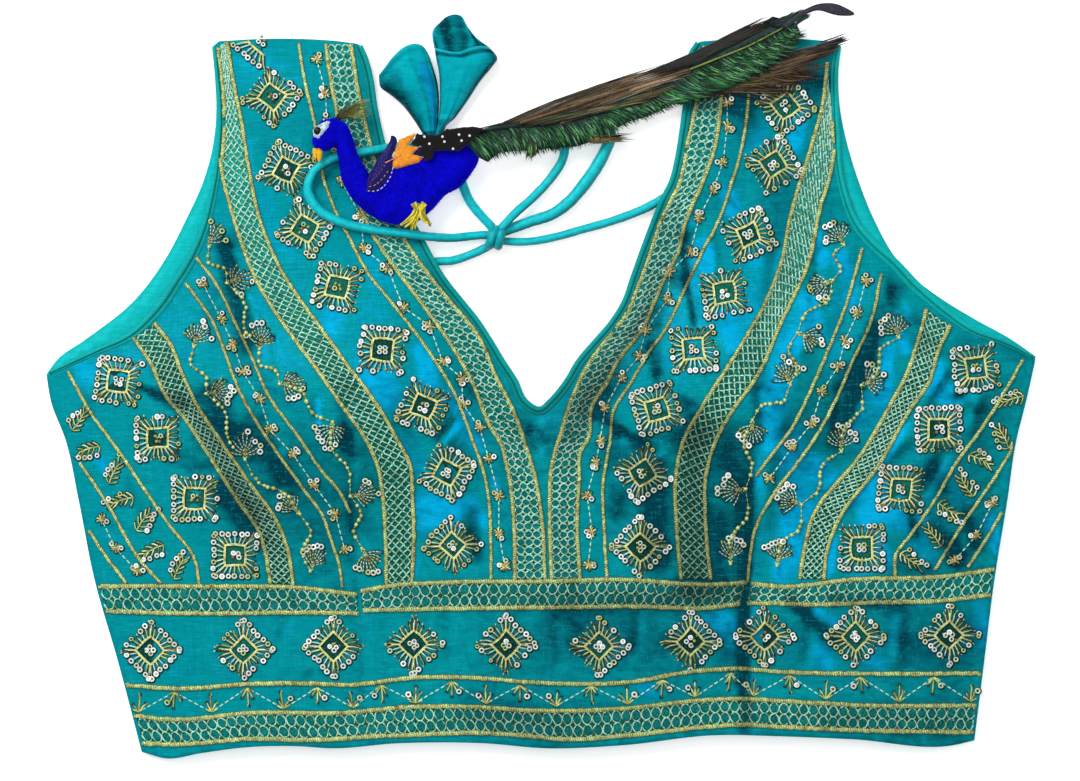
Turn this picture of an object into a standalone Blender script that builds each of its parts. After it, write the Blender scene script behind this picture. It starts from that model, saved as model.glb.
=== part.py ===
"""A sleeveless choli blouse laid flat with its embroidered front up.

The front is one cut piece with two waist darts; it lies on a plain back with a hollow between
them that is open at the hem.  Silk bindings finish the neck and the front's armholes.  A tubular
silk tie (dori) is knotted in a bow across the neck and carries two folded silk petals (latkan)
and a small stuffed peacock with two real tail feathers.

Frame: the origin is on the surface that the blouse lies on, under the middle of the garment.
+X is towards the right-hand side seam as seen from the front, +Y towards the shoulders, +Z out
of the front.  Tables and constants are in millimetres; MM turns them into metres.
"""

import math

import bmesh
import bpy
import numpy as np
from mathutils import Vector
from mathutils.geometry import delaunay_2d_cdt

MM = 0.001

# ---------------------------------------------------------------- cloth
CLOTH = 1.5             # wall of the lined silk panels
SEAM_GAP = 0.3          # clearance between pieces that touch
BACK_NECK_SETBACK = 9   # how far the back's neck edge lies behind the front's
FRONT_REST = CLOTH + SEAM_GAP

# ---------------------------------------------------------------- cut lines
# Each row is a point x, y.  Side seams and armholes run upwards, hem and neck run left to right.
HEM = [(-199.5, -176.5), (-187.5, -179.75), (-169.5, -177), (-147, -174), (-120.5, -173.5),
       (-105, -174.5), (-71.5, -172), (-28.5, -172), (3, -174.5), (40.5, -173), (86.5, -168),
       (119, -168.5), (155.5, -170), (207, -173), (216.5, -170.8)]
SIDE_LEFT = [(-199.5, -176.5), (-211.5, -130.8), (-223, -90.8), (-231, -50.8), (-237.5, -20.8),
             (-245, -0.8), (-246.9, 10.4)]
SIDE_RIGHT = [(216.5, -170.8), (221.5, -130.8), (226.5, -90.8), (233, -50.8), (237.5, -20.8),
              (242.5, -0.8), (246.8, 18.6)]
BACK_ARMHOLE_LEFT = [(-247.25, 12), (-242, 19.3), (-228, 29.3), (-203, 49.3), (-188, 69.3),
                     (-177.5, 89.3), (-168.5, 109.3), (-163.5, 129.3), (-162.3, 146),
                     (-163, 160), (-164.2, 176)]
BACK_ARMHOLE_RIGHT = [(247.25, 21), (235.5, 29.3), (217.5, 39.3), (201, 49.3), (187.5, 59.3),
                      (178, 69.3), (166.5, 89.3), (158.5, 109.3), (152.5, 129.3),
                      (149.2, 147), (148.7, 164), (150, 176)]
FRONT_ARMHOLE_LEFT = [(-246, 13.3), (-225, 23.3), (-204.5, 33.8), (-193, 45.8), (-184.5, 58.3),
                      (-176.5, 70.8), (-170, 85.3), (-166, 99.3), (-163.3, 113.3),
                      (-161.8, 127), (-161.3, 146), (-162.6, 161), (-164, 175.8)]
FRONT_ARMHOLE_RIGHT = [(246, 21.5), (232.3, 28.6), (216.3, 34.8), (202, 45.5), (189.5, 57),
                       (177, 70), (167, 78.5), (159.5, 87), (153.3, 100.8), (149.8, 116.8),
                       (149, 131), (148.2, 149.3), (148.2, 164), (149.6, 175.6)]
NECK = [(-89.5, 176.6), (-86.5, 169.3), (-84, 159.3), (-82, 146), (-78.5, 129.3),
        (-73.5, 110), (-66.5, 94.5), (-58.5, 79.3), (-47, 59.3), (-39, 49.3), (-31, 39.3),
        (-24.5, 29.3), (-18.5, 19.3), (-12, 9.3), (-7, -0.8), (-0.5, -4.3), (3.7, -0.8),
        (12, 9.3), (18, 19.3), (26.5, 29.3), (35, 39.3), (41, 49.3), (44.5, 59.3),
        (48, 69.3), (55.5, 89.3), (59.5, 99.3), (64.5, 109.3), (67, 119.3), (69.5, 134.3),
        (71.5, 149), (73.3, 162), (73.8, 172), (77.5, 178.2)]
SHOULDER_LEFT = [(-161, 178.5), (-142, 179.6), (-123.5, 179.75), (-104, 178.8), (-89.5, 177)]
SHOULDER_RIGHT = [(77.5, 178.2), (92, 179.3), (110, 179.75), (129.5, 179.6), (146.5, 178.3)]

# Waist darts: the stitched line from the hem to the tip.
DARTS = [
    [(-85.5, -168), (-89.5, -108), (-92, -80), (-94.5, -21)],
    [(102, -164), (103.5, -100), (107, -60), (105.5, -24)],
]
DART_DEPTH = 1.5
DART_HALF_WIDTH = 3.4
DART_ROW = 4.4           # rows of points run this far to each side of the stitched line

# Bindings: width of the strip at fractions of the armhole's length from the underarm.
# fraction, width
ARMHOLE_BINDING_WIDTH = [(0, 1.8), (0.15, 2.8), (0.35, 5.4), (0.5, 4.6), (0.65, 3.4), (1, 3.2)]
NECK_BINDING_WIDTH = 4.2
# Cross-section of a binding from its folded edge: share of the width, rise of the upper face
# over the cloth's, rise of the lower face over the cloth's.
BINDING_SECTION = [(0.0, -0.45, 0.45), (0.16, 0.35, 0.0), (0.36, 0.5, 0.0), (0.62, 0.1, 0.0),
                   (1.0, 0.0, 0.0)]

# ---------------------------------------------------------------- how the front lies
BODY_LIFT = 4.2          # height of the hollow under the front, over its resting height
BODY_LIFT_RUN = 60       # distance from the side seam over which it rises
STRAP_LIFT = 2.2
# Bust fullness over each dart: x, y, rise, half-width along x, half-width along y
BUSTS = [(-97, 2, 12.5, 50, 44), (105, 4, 12.5, 50, 44)]
# Places where a tie passes under the neck edge and lifts it: x, y, rise, radius
TIE_LIFTS = [(-55, 67.5, 4.6, 14), (63, 101.5, 4.6, 14)]
# Broad folds: x0, y0, x1, y1, rise (a trough is negative), half-width
FOLDS = [
    (-153, 74, -139, 26, -1.5, 8),
    (-205, 10, -168, -55, 1.2, 11),
    (77, 66, 80, 18, 1.3, 9),
    (62, 60, 63, 10, -1.2, 8),
    (36, 0, 50, -32, -1.2, 8),
    (-52, 10, -47, -62, 1.0, 10),
    (160, 66, 150, 32, -1.4, 8),
    (205, -5, 172, -70, 1.2, 11),
    (2, -40, 4, -82, -0.9, 9),
]

PANEL_SPACING = 10.5     # between the points of a curved panel
EDGE_SPACING = 7.5       # along the cut lines
BINDING_SPACING = 6.0    # along the neck and the armholes
EDGE_CLEARANCE = 0.55    # of the spacing, kept free of inner points along a cut line
SEAM_CLEARANCE = 0.45    # of the spacing, kept free beside a dart's rows
CORNER_CLEARANCE = 3     # the shoulder's points stop this far from its corners

# ---------------------------------------------------------------- tie
CORD_RADIUS = 2.75
CORD_STEP = 11.5         # between the points of a tie, over two diameters
KNOT_SIDES = 16
KNOT_CENTRE = (-22, 80.3)
KNOT_RADIUS = 6.3
# Height and share of the radius up the knot
KNOT_PROFILE = [(0.3, 0.62), (1.6, 0.93), (3.2, 1.0), (7.6, 1.0), (9.6, 0.86), (10.9, 0.5)]
# Hand-laid routes: x, y, z
TIE_ROUTES = {
    "dori_left": [(-56, 67.6, 3.05), (-52, 68.4, 3.05), (-44, 69.0, 3.05), (-36.5, 71.4, 3.05),
                  (-31, 73.7, 3.05), (-27.2, 75.6, 3.05)],
    "dori_right": [(65.5, 102.4, 3.05), (61.5, 100.3, 3.05), (55.5, 96.8, 3.05),
                   (37.8, 89.5, 3.05), (19.9, 84.3, 3.05), (7.4, 80.8, 3.05), (-7, 78.4, 3.05),
                   (-15.3, 78.4, 3.05)],
    "dori_tail": [(-28.9, 81.7, 3.05), (-35, 81.2, 3.4), (-44, 80.2, 6.2), (-54, 80.6, 9.9),
                  (-67, 82.2, 10.2), (-86, 84.6, 9.6), (-101.5, 88.6, 9.4), (-112, 95.3, 9.3),
                  (-116.3, 104.3, 9.3), (-113.4, 113.0, 9.3), (-104, 119.6, 9.3),
                  (-92, 122.3, 9.1), (-82, 124.0, 8.3), (-73, 125.6, 6.0), (-63.5, 127.2, 3.3),
                  (-57.0, 131.0, 3.05)],
    "dori_tail_2": [(-25.3, 86.5, 3.05), (-30.5, 92.0, 3.05), (-35.8, 99.0, 3.05),
                    (-39.3, 107.3, 3.05), (-42.0, 116.0, 3.05), (-46.2, 124.5, 3.05),
                    (-48.6, 132.6, 3.05)],
    "dori_loop": [(-17.9, 87.1, 8.2), (-13.6, 91.8, 7.0), (-4.3, 100.2, 4.1), (5.0, 110.3, 3.05),
                  (10.6, 119.0, 3.05), (12.8, 129.0, 3.05), (17.0, 138.3, 3.05),
                  (24.5, 142.2, 3.05), (32.0, 139.0, 3.05), (34.6, 131.5, 3.05),
                  (31.8, 123.2, 3.05), (27.4, 115.2, 3.05), (21.3, 106.6, 3.05),
                  (14.6, 98.8, 3.05), (6.5, 92.6, 3.05), (-5.0, 88.5, 3.05),
                  (-16.4, 84.4, 3.05)],
}

# ---------------------------------------------------------------- latkan petals
PETAL_WALL = 1.2
PETAL_ROWS = 9
PETAL_SIDES = 18
# Half thickness at the closed foot and at the mouth
PETAL_FOOT = 2.7
PETAL_MOUTH = 5.8
PETAL_SWELL = 1.15       # how soon the mouth's thickness is reached
LIP_SPREAD = 0.8         # below 1 the back lip is broad, above 1 pointed
LIP_START = 3            # the higher, the nearer to the mouth the back lip begins
# Outlines from foot to mouth: x, y
PETALS = {
    "latkan_left": {
        "left": [(-59.3, 133.7), (-64, 139.2), (-70.5, 147.3), (-76.5, 153.3), (-81, 160.3)],
        "right": [(-51.9, 133.9), (-51.4, 141.8), (-51.4, 150.8), (-52.6, 161.3), (-55.5, 170.8)],
        "lip": (-4.5, 10.5),
        "lean": 0.0,
    },
    "latkan_right": {
        "left": [(-50.6, 134.1), (-50.8, 142.3), (-50.7, 153.3), (-51.8, 164.3), (-52.8, 174.3)],
        "right": [(-46.4, 134.9), (-41, 140.0), (-35, 150.8), (-29, 159.8), (-22, 169.3)],
        "lip": (-1.5, 19.5),
        "lean": 0.35,
    },
}

# ---------------------------------------------------------------- peacock
BIRD_THICK = 7.0          # stuffing at the middle
BIRD_ROUND = 6.5          # distance from the seam over which it swells
BIRD_SEAM = 0.8           # thickness at the seam
BIRD_EDGE_SPACING = 4.2
BIRD_SPACING = 4.0
# Height of the bird's flat underside: x, z
BIRD_UNDERSIDE = [(-88, 12.5), (-32, 8.0)]
BIRD_OUTLINE = [(-103, 139.8), (-97.5, 137.3), (-93.7, 129.5), (-90.7, 120.3), (-86.5, 113.3),
                (-84.6, 110.3), (-80.5, 114.3), (-74.5, 119.8), (-63.5, 124.3), (-54, 127),
                (-44.5, 127.9), (-36.5, 127), (-31, 120.8), (-35, 111.8), (-41, 105),
                (-47, 101.8), (-54.5, 93.8), (-64.5, 87), (-76, 87.4), (-86, 92),
                (-93.5, 98.8), (-99, 108.3), (-101, 119.3), (-102.6, 125.4), (-106.7, 123.3),
                (-112.4, 124.6), (-114, 127.8), (-113.3, 131.8), (-111.5, 135.8), (-108, 138.8)]
FELT = 1.3
FELT_RISE = BIRD_THICK + SEAM_GAP     # felt pieces lie on the stuffed body
WING_BASE = [(-86.8, 103.5), (-86, 109.5), (-82.3, 117.3), (-77.6, 124.1), (-75, 128.8),
             (-74.6, 131), (-71.9, 129.8), (-72.2, 125.7), (-73.9, 121.1), (-74.4, 115.7),
             (-76, 110.3), (-79.8, 105.8), (-83.8, 102.8)]
WING_MIDDLE = [(-73.8, 116.4), (-73.3, 121), (-71.6, 125.8), (-70.8, 128.8),
               (-62.5, 132.4), (-62.7, 130.6), (-64.1, 128.6), (-66.3, 126), (-60.6, 125.1),
               (-64, 121.7), (-58.2, 120.2), (-60.8, 117.5), (-71.4, 114.5), (-73.6, 114.9)]
WING_TIP = [(-61.9, 132.2), (-60.3, 131.4), (-51.6, 131.2), (-47, 134), (-34, 135.4),
            (-28.7, 134.5), (-36.3, 126.3), (-41, 123.3), (-53, 123.3), (-54, 119.4),
            (-58.5, 117.8), (-57.4, 120.4), (-62.6, 121.8), (-59.4, 125.5), (-65.2, 126.3),
            (-63.4, 128.5)]
# The tip lies over the feathers' roots: x, height of its underside
WING_TIP_UNDERSIDE = [(-66, 18.05), (-47, 19.7), (-28, 18.1)]
WING_TIP_SPACING = 6.0
BEAK = [(-113.2, 123.9), (-109.2, 123.3), (-110.3, 118.4), (-112.6, 119.6)]
CLAW = [(-62.5, 97.3), (-60, 96.8), (-59, 92.6), (-54.8, 86.4), (-60.8, 89), (-64.3, 84),
        (-64.8, 90), (-70.8, 87.9), (-66.6, 92.6)]
BEAK_RISE = (1.4, 4.4)    # its faces over the bird's underside
EYE = (-111.2, 133.2)
EYE_RADIUS = 2.0
EYE_FLATNESS = 0.75
EYE_RISE = 6.4            # its centre over the bird's underside
CREST_RISE = (0.2, 1.4)   # its faces over the bird's underside
CREST_ROOT = (-101.4, 140.0)
CREST_BASE = [(2.2, -1.3), (-0.6, -0.2)]
CREST_STRANDS = 9
# Angle and length of the first and last strand of the crest
CREST_ANGLES = (64, 12)
CREST_LENGTHS = (11, 16.5)
# One strand: turn from its middle line in degrees, share of its length
STRAND = [(2.2, 0.55), (1.3, 1.0), (-1.3, 1.0), (-2.2, 0.55)]

# ---------------------------------------------------------------- tail feathers
VANE = 1.2
QUILL_HALF_WIDTH = 1.3
BARB_PITCH = 5.5
BARB_DEPTH = 1.3
FEATHER_SPACING = 7.0
# Height of the lower feather's underside: x, z
FEATHER_UNDERSIDE = [(-47, 16.5), (84, 6.0), (160, 5.85)]
FEATHERS = {
    "tail_feather_lower": {
        "upper": [(-40, 131), (-20, 130), (5, 130), (30, 140), (60, 149), (90, 157),
                  (118, 168), (138, 176)],
        "lower": [(-39, 128), (-33, 118.5), (-26, 116), (-18, 121), (-10, 121.8), (-5, 119.4),
                  (7, 122.8), (17, 123.2), (29, 126.5), (46.5, 130.8), (42, 135), (56, 139.3),
                  (65, 144.8), (75, 147.2), (103, 151), (121, 154.8), (136, 163.3),
                  (147, 164.3)],
        "quill": [(-37, 126), (10, 130), (60, 144), (100, 157), (140, 169)],
        "quill_rise": 0.0,
        "layer": 0.0,
    },
    "tail_feather_upper": {
        "upper": [(-47, 131.5), (-35.5, 132.5), (-25, 135.3), (-10.5, 138.8), (2, 143.8),
                  (15.5, 151.3), (29, 156.3), (55.5, 163.8), (73.5, 169.8), (105.5, 183.8),
                  (113, 189.3), (139, 197), (156, 192.5)],
        "lower": [(-46, 128), (-35, 125), (-15, 127.5), (12, 134), (40, 142.5), (70, 152),
                  (98, 160.5), (125, 169.5), (152.5, 180), (128, 183.5), (131, 189.5),
                  (155, 190)],
        "quill": [(-22, 131.5), (-5, 135), (35, 150), (75, 164), (125, 186)],
        "quill_rise": 0.9,
        "layer": 1.5,
    },
}

COLOURS = {
    # name: red, green, blue, roughness
    "silk": (0.02, 0.27, 0.33, 0.45),
    "binding": (0.01, 0.36, 0.36, 0.5),
    "cord": (0.0, 0.5, 0.52, 0.45),
    "velvet": (0.02, 0.01, 0.42, 0.9),
    "felt_navy": (0.01, 0.01, 0.12, 0.9),
    "felt_orange": (0.9, 0.32, 0.03, 0.9),
    "felt_black": (0.01, 0.01, 0.01, 0.9),
    "felt_yellow": (0.8, 0.6, 0.03, 0.9),
    "eye": (0.0, 0.0, 0.0, 0.2),
    "crest": (0.2, 0.22, 0.05, 0.8),
    "feather": (0.03, 0.12, 0.05, 0.5),
}


# ---------------------------------------------------------------- curves
def smooth(points, step):
    """Points about step apart on a smooth curve through the given ones, ends included."""
    knots = np.array(points, float)
    chords = np.linalg.norm(np.diff(knots, axis=0), axis=1)
    at = np.concatenate([[0], np.cumsum(chords)])
    slopes = np.gradient(knots, at, axis=0)
    curve = []
    for i, chord in enumerate(chords):
        count = max(1, round(chord / step))
        for k in range(count):
            t = k / count
            a = (1 + 2 * t) * (1 - t) ** 2
            b = t * (1 - t) ** 2
            c = t * t * (3 - 2 * t)
            d = t * t * (t - 1)
            curve.append(a * knots[i] + b * chord * slopes[i]
                         + c * knots[i + 1] + d * chord * slopes[i + 1])
    curve.append(knots[-1])
    return np.array(curve)


def resampled(points, step):
    """The same curve with points evenly about step apart."""
    fine = smooth(points, step / 8)
    at = np.concatenate([[0], np.cumsum(np.linalg.norm(np.diff(fine, axis=0), axis=1))])
    even = np.linspace(0, at[-1], max(2, round(at[-1] / step) + 1))
    return np.stack([np.interp(even, at, fine[:, k]) for k in range(fine.shape[1])], axis=1)


def fractions(path):
    """Each point's share of the path's length from its start."""
    at = np.concatenate([[0], np.cumsum(np.linalg.norm(np.diff(path, axis=0), axis=1))])
    return at / at[-1]


def beside(path, distance):
    """The path moved to its right-hand side by a distance, one number or one for each point."""
    along = np.gradient(path, axis=0)
    along /= np.linalg.norm(along, axis=1)[:, None]
    right = np.stack([along[:, 1], -along[:, 0]], axis=1)
    return path + right * np.reshape(distance, (-1, 1))


def distance_to(path, x, y):
    """Distance of each point x, y to the nearest point of an open path."""
    path = np.asarray(path, float)
    start = path[:-1]
    run = path[1:] - start
    px = np.atleast_1d(x)[:, None] - start[None, :, 0]
    py = np.atleast_1d(y)[:, None] - start[None, :, 1]
    t = np.clip((px * run[:, 0] + py * run[:, 1]) / (run ** 2).sum(axis=1), 0, 1)
    return np.hypot(px - t * run[:, 0], py - t * run[:, 1]).min(axis=1)


def inside(outline, x, y):
    """Whether each point x, y lies inside a closed outline."""
    outline = np.asarray(outline, float)
    ax, ay = outline[:, 0], outline[:, 1]
    bx, by = np.roll(ax, -1), np.roll(ay, -1)
    px, py = np.atleast_1d(x)[:, None], np.atleast_1d(y)[:, None]
    straddles = (ay > py) != (by > py)
    level = np.where(by == ay, 1e-9, by - ay)
    crosses = straddles & (px < ax + (py - ay) * (bx - ax) / level)
    return crosses.sum(axis=1) % 2 == 1


def ease(t):
    t = np.clip(t, 0, 1)
    return t * t * (3 - 2 * t)


# ---------------------------------------------------------------- the front's form
SIDE_CURVES = [smooth(SIDE_LEFT, 12), smooth(SIDE_RIGHT, 12)]
ARMHOLE_CURVES = [smooth(FRONT_ARMHOLE_LEFT, 8), smooth(FRONT_ARMHOLE_RIGHT, 8)]
NECK_CURVE = smooth(NECK, 6)


def nearest(curves, x, y):
    return np.min([distance_to(curve, x, y) for curve in curves], axis=0)


def front_underside(x, y):
    """Height of the front's inner face at each point x, y."""
    x, y = np.atleast_1d(x).astype(float), np.atleast_1d(y).astype(float)
    arm = nearest(ARMHOLE_CURVES, x, y)
    neck = distance_to(NECK_CURVE, x, y)
    shoulder = 179.5 - y
    side = nearest(SIDE_CURVES, x, y)
    lift = BODY_LIFT * ease(side / BODY_LIFT_RUN)
    lift *= 1 - ease((y - 5) / 85)
    lift *= (0.3 + 0.7 * ease(arm / 40)) * (0.45 + 0.55 * ease(neck / 35))
    lift += STRAP_LIFT * ease(arm / 22) * ease(neck / 22) * ease(shoulder / 26) * ease(side / 26)
    for cx, cy, rise, wide, high in BUSTS:
        bump = np.exp(-((x - cx) / wide) ** 2 - ((y - cy) / high) ** 2)
        lift += rise * bump * ease(arm / 45) * ease((neck + 8) / 40) * ease(side / 60)
    for cx, cy, rise, radius in TIE_LIFTS:
        lift += rise * np.exp(-((x - cx) ** 2 + (y - cy) ** 2) / radius ** 2)
    soft = ease(np.minimum(np.minimum(arm, neck), side) / 18)
    for x0, y0, x1, y1, rise, wide in FOLDS:
        lift += rise * soft * np.exp(-(distance_to([(x0, y0), (x1, y1)], x, y) / wide) ** 2)
    for dart in DARTS:
        tip = dart[-1][1]
        fade = ease((tip + 14 - y) / 40)
        lift -= DART_DEPTH * fade * np.exp(-(distance_to(dart, x, y) / DART_HALF_WIDTH) ** 2)
    return FRONT_REST + np.maximum(lift, 0)


def front_top(x, y):
    return front_underside(x, y) + CLOTH


# ---------------------------------------------------------------- solids
def material(name):
    found = bpy.data.materials.get(name)
    if found:
        return found
    red, green, blue, roughness = COLOURS[name]
    made = bpy.data.materials.new(name)
    made.use_nodes = True
    shader = made.node_tree.nodes["Principled BSDF"]
    shader.inputs["Base Color"].default_value = (red, green, blue, 1)
    shader.inputs["Roughness"].default_value = roughness
    return made


def add_object(name, data, slot):
    piece = bpy.data.objects.new(name, data)
    bpy.context.scene.collection.objects.link(piece)
    data.materials.append(material(slot))
    return piece


def add_mesh(name, points, faces, slot):
    """A closed mesh from points in millimetres, its faces turned outwards."""
    mesh = bpy.data.meshes.new(name)
    mesh.from_pydata([tuple(MM * float(v) for v in point) for point in points], [], faces)
    work = bmesh.new()
    work.from_mesh(mesh)
    bmesh.ops.recalc_face_normals(work, faces=work.faces)
    work.to_mesh(mesh)
    work.free()
    mesh.shade_smooth()
    return add_object(name, mesh, slot)


def filled(outline, spacing, seams=()):
    """Triangles over an outline, with even points inside and rows of points along the seams."""
    outline = np.asarray(outline, float)
    points = [tuple(p) for p in outline]
    edges = [(i, (i + 1) % len(points)) for i in range(len(points))]
    taken = []
    for seam in seams:
        for shift in (-DART_ROW, 0, DART_ROW):
            row = beside(resampled(seam, EDGE_SPACING), shift)
            points += [tuple(p) for p in row]
        taken.append(np.asarray(seam, float))
    if spacing:
        rise = spacing * math.sqrt(3) / 2
        low, high = outline.min(axis=0), outline.max(axis=0)
        grid = []
        for j in range(int((high[1] - low[1]) / rise) + 2):
            start = low[0] + (spacing / 2 if j % 2 else 0)
            grid += [(start + i * spacing, low[1] + j * rise)
                     for i in range(int((high[0] - low[0]) / spacing) + 2)]
        grid = np.array(grid)
        ring = np.vstack([outline, outline[:1]])
        keep = inside(outline, grid[:, 0], grid[:, 1])
        keep &= distance_to(ring, grid[:, 0], grid[:, 1]) > spacing * EDGE_CLEARANCE
        for seam in taken:
            free = DART_ROW + spacing * SEAM_CLEARANCE
            keep &= distance_to(seam, grid[:, 0], grid[:, 1]) > free
        points += [tuple(p) for p in grid[keep]]
    corners, _, faces, *_ = delaunay_2d_cdt([Vector(p) for p in points], edges, [], 1, 1e-6)
    corners = np.array([tuple(c) for c in corners])
    turned = []
    for a, b, c in faces:
        (ax, ay), (bx, by), (cx, cy) = corners[a], corners[b], corners[c]
        anticlockwise = (bx - ax) * (cy - ay) - (by - ay) * (cx - ax) > 0
        turned.append((a, b, c) if anticlockwise else (a, c, b))
    return corners, turned


def sheet_solid(name, outline, top, bottom, slot, spacing=None, seams=()):
    """A wall over an outline between two height functions of x, y."""
    flat, faces = filled(outline, spacing, seams)
    x, y = flat[:, 0], flat[:, 1]
    count = len(flat)
    points = np.vstack([np.column_stack([x, y, top(x, y)]), np.column_stack([x, y, bottom(x, y)])])
    rim = {}
    for face in faces:
        for a, b in zip(face, face[1:] + face[:1]):
            if (b, a) in rim:
                del rim[(b, a)]
            else:
                rim[(a, b)] = True
    solid = list(faces) + [(a + count, c + count, b + count) for a, b, c in faces]
    solid += [(b, a, a + count, b + count) for a, b in rim]
    return add_mesh(name, points, solid, slot)


def level(height):
    return lambda x, y: np.full(len(x), float(height))


def along_x(rows, rise=0.0):
    """A height that follows the table x, z, raised by rise."""
    table = np.array(rows, float)
    return lambda x, y: np.interp(x, table[:, 0], table[:, 1]) + rise


def binding(name, path, width, slot="binding"):
    """A folded strip whose outer edge follows path, with the cloth on the path's right."""
    share = np.array(BINDING_SECTION)
    rows, columns = len(path), len(share)
    width = np.broadcast_to(width, rows)
    points = []
    for k, (across, above, below) in enumerate(share):
        line = beside(path, width * across)
        x, y = line[:, 0], line[:, 1]
        points.append(np.column_stack([x, y, front_top(x, y) + above]))
        points.append(np.column_stack([x, y, front_underside(x, y) + below]))
    points = np.stack(points, axis=1).reshape(-1, 3)

    def at(row, column, lower):
        return row * columns * 2 + column * 2 + lower

    faces = []
    for row in range(rows - 1):
        for column in range(columns - 1):
            for lower in (0, 1):
                quad = [at(row, column, lower), at(row, column + 1, lower),
                        at(row + 1, column + 1, lower), at(row + 1, column, lower)]
                faces.append(tuple(quad))
        for column in (0, columns - 1):
            faces.append((at(row, column, 0), at(row + 1, column, 0),
                          at(row + 1, column, 1), at(row, column, 1)))
    for row in (0, rows - 1):
        for column in range(columns - 1):
            faces.append((at(row, column, 0), at(row, column + 1, 0),
                          at(row, column + 1, 1), at(row, column, 1)))
    return add_mesh(name, points, faces, slot)


def between(path, left, right):
    """The points of a path that lie clear of the corners at x = left and x = right."""
    keep = (path[:, 0] > left + CORNER_CLEARANCE) & (path[:, 0] < right - CORNER_CLEARANCE)
    return path[keep]


def build_panels():
    """Front, back and the bindings of the neck and the front's armholes."""
    hem = resampled(HEM, EDGE_SPACING)
    side_left, side_right = (resampled(side, EDGE_SPACING) for side in (SIDE_LEFT, SIDE_RIGHT))
    shoulder_left = resampled(SHOULDER_LEFT, EDGE_SPACING)
    shoulder_right = resampled(SHOULDER_RIGHT, EDGE_SPACING)
    neck = resampled(NECK, BINDING_SPACING)
    table = np.array(ARMHOLE_BINDING_WIDTH)
    cloth_edges = []
    for name, rows, side in (("armhole_binding_left", FRONT_ARMHOLE_LEFT, 1),
                             ("armhole_binding_right", FRONT_ARMHOLE_RIGHT, -1)):
        edge = resampled(rows, BINDING_SPACING)
        width = np.interp(fractions(edge), table[:, 0], table[:, 1])
        if side > 0:
            binding(name, edge, width)
            cloth_edges.append(beside(edge, width + SEAM_GAP))
        else:
            binding(name, edge[::-1], width[::-1])
            cloth_edges.append(beside(edge, -(width + SEAM_GAP)))
    binding("neck_binding", neck, NECK_BINDING_WIDTH)
    neck_cloth = beside(neck, NECK_BINDING_WIDTH + SEAM_GAP)
    arm_left, arm_right = cloth_edges
    shoulder_l = between(shoulder_left, arm_left[-1, 0], neck_cloth[0, 0])
    shoulder_r = between(shoulder_right, neck_cloth[-1, 0], arm_right[-1, 0])
    outline = np.vstack([hem, side_right[1:], arm_right, shoulder_r[::-1], neck_cloth[::-1],
                         shoulder_l[::-1], arm_left[::-1], side_left[1:][::-1]])
    sheet_solid("front", outline, front_top, front_underside, "silk", PANEL_SPACING, DARTS)

    back_neck = beside(neck, BACK_NECK_SETBACK)
    shoulder_l = between(shoulder_left, BACK_ARMHOLE_LEFT[-1][0], back_neck[0, 0])
    shoulder_r = between(shoulder_right, back_neck[-1, 0], BACK_ARMHOLE_RIGHT[-1][0])
    back_arms = [resampled(rows, EDGE_SPACING) for rows in (BACK_ARMHOLE_LEFT, BACK_ARMHOLE_RIGHT)]
    outline = np.vstack([hem, side_right[1:], back_arms[1], shoulder_r[::-1],
                         back_neck[::-1], shoulder_l[::-1], back_arms[0][::-1],
                         side_left[1:][::-1]])
    sheet_solid("back", outline, level(CLOTH), level(0), "silk")


def build_ties():
    """The knotted tie: five stretches of tube and the knot between them."""
    for name, route in TIE_ROUTES.items():
        line = bpy.data.curves.new(name, "CURVE")
        line.dimensions = "3D"
        line.bevel_depth = CORD_RADIUS * MM
        line.bevel_resolution = 2
        line.use_fill_caps = True
        path = resampled(route, CORD_STEP)
        spline = line.splines.new("POLY")
        spline.points.add(len(path) - 1)
        for point, place in zip(spline.points, path):
            point.co = (*(MM * place), 1)
        add_object(name, line, "cord")
    points = []
    for height, share in KNOT_PROFILE:
        for k in range(KNOT_SIDES):
            angle = 2 * math.pi * k / KNOT_SIDES
            radius = KNOT_RADIUS * share
            points.append((KNOT_CENTRE[0] + radius * math.cos(angle),
                           KNOT_CENTRE[1] + radius * math.sin(angle), height))
    rows = len(KNOT_PROFILE)
    top = (rows - 1) * KNOT_SIDES
    faces = [tuple(range(KNOT_SIDES)), tuple(range(top, top + KNOT_SIDES))]
    for row in range(rows - 1):
        for k in range(KNOT_SIDES):
            after = (k + 1) % KNOT_SIDES
            faces.append((row * KNOT_SIDES + k, row * KNOT_SIDES + after,
                          (row + 1) * KNOT_SIDES + after, (row + 1) * KNOT_SIDES + k))
    add_mesh("knot", points, faces, "cord")


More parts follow.
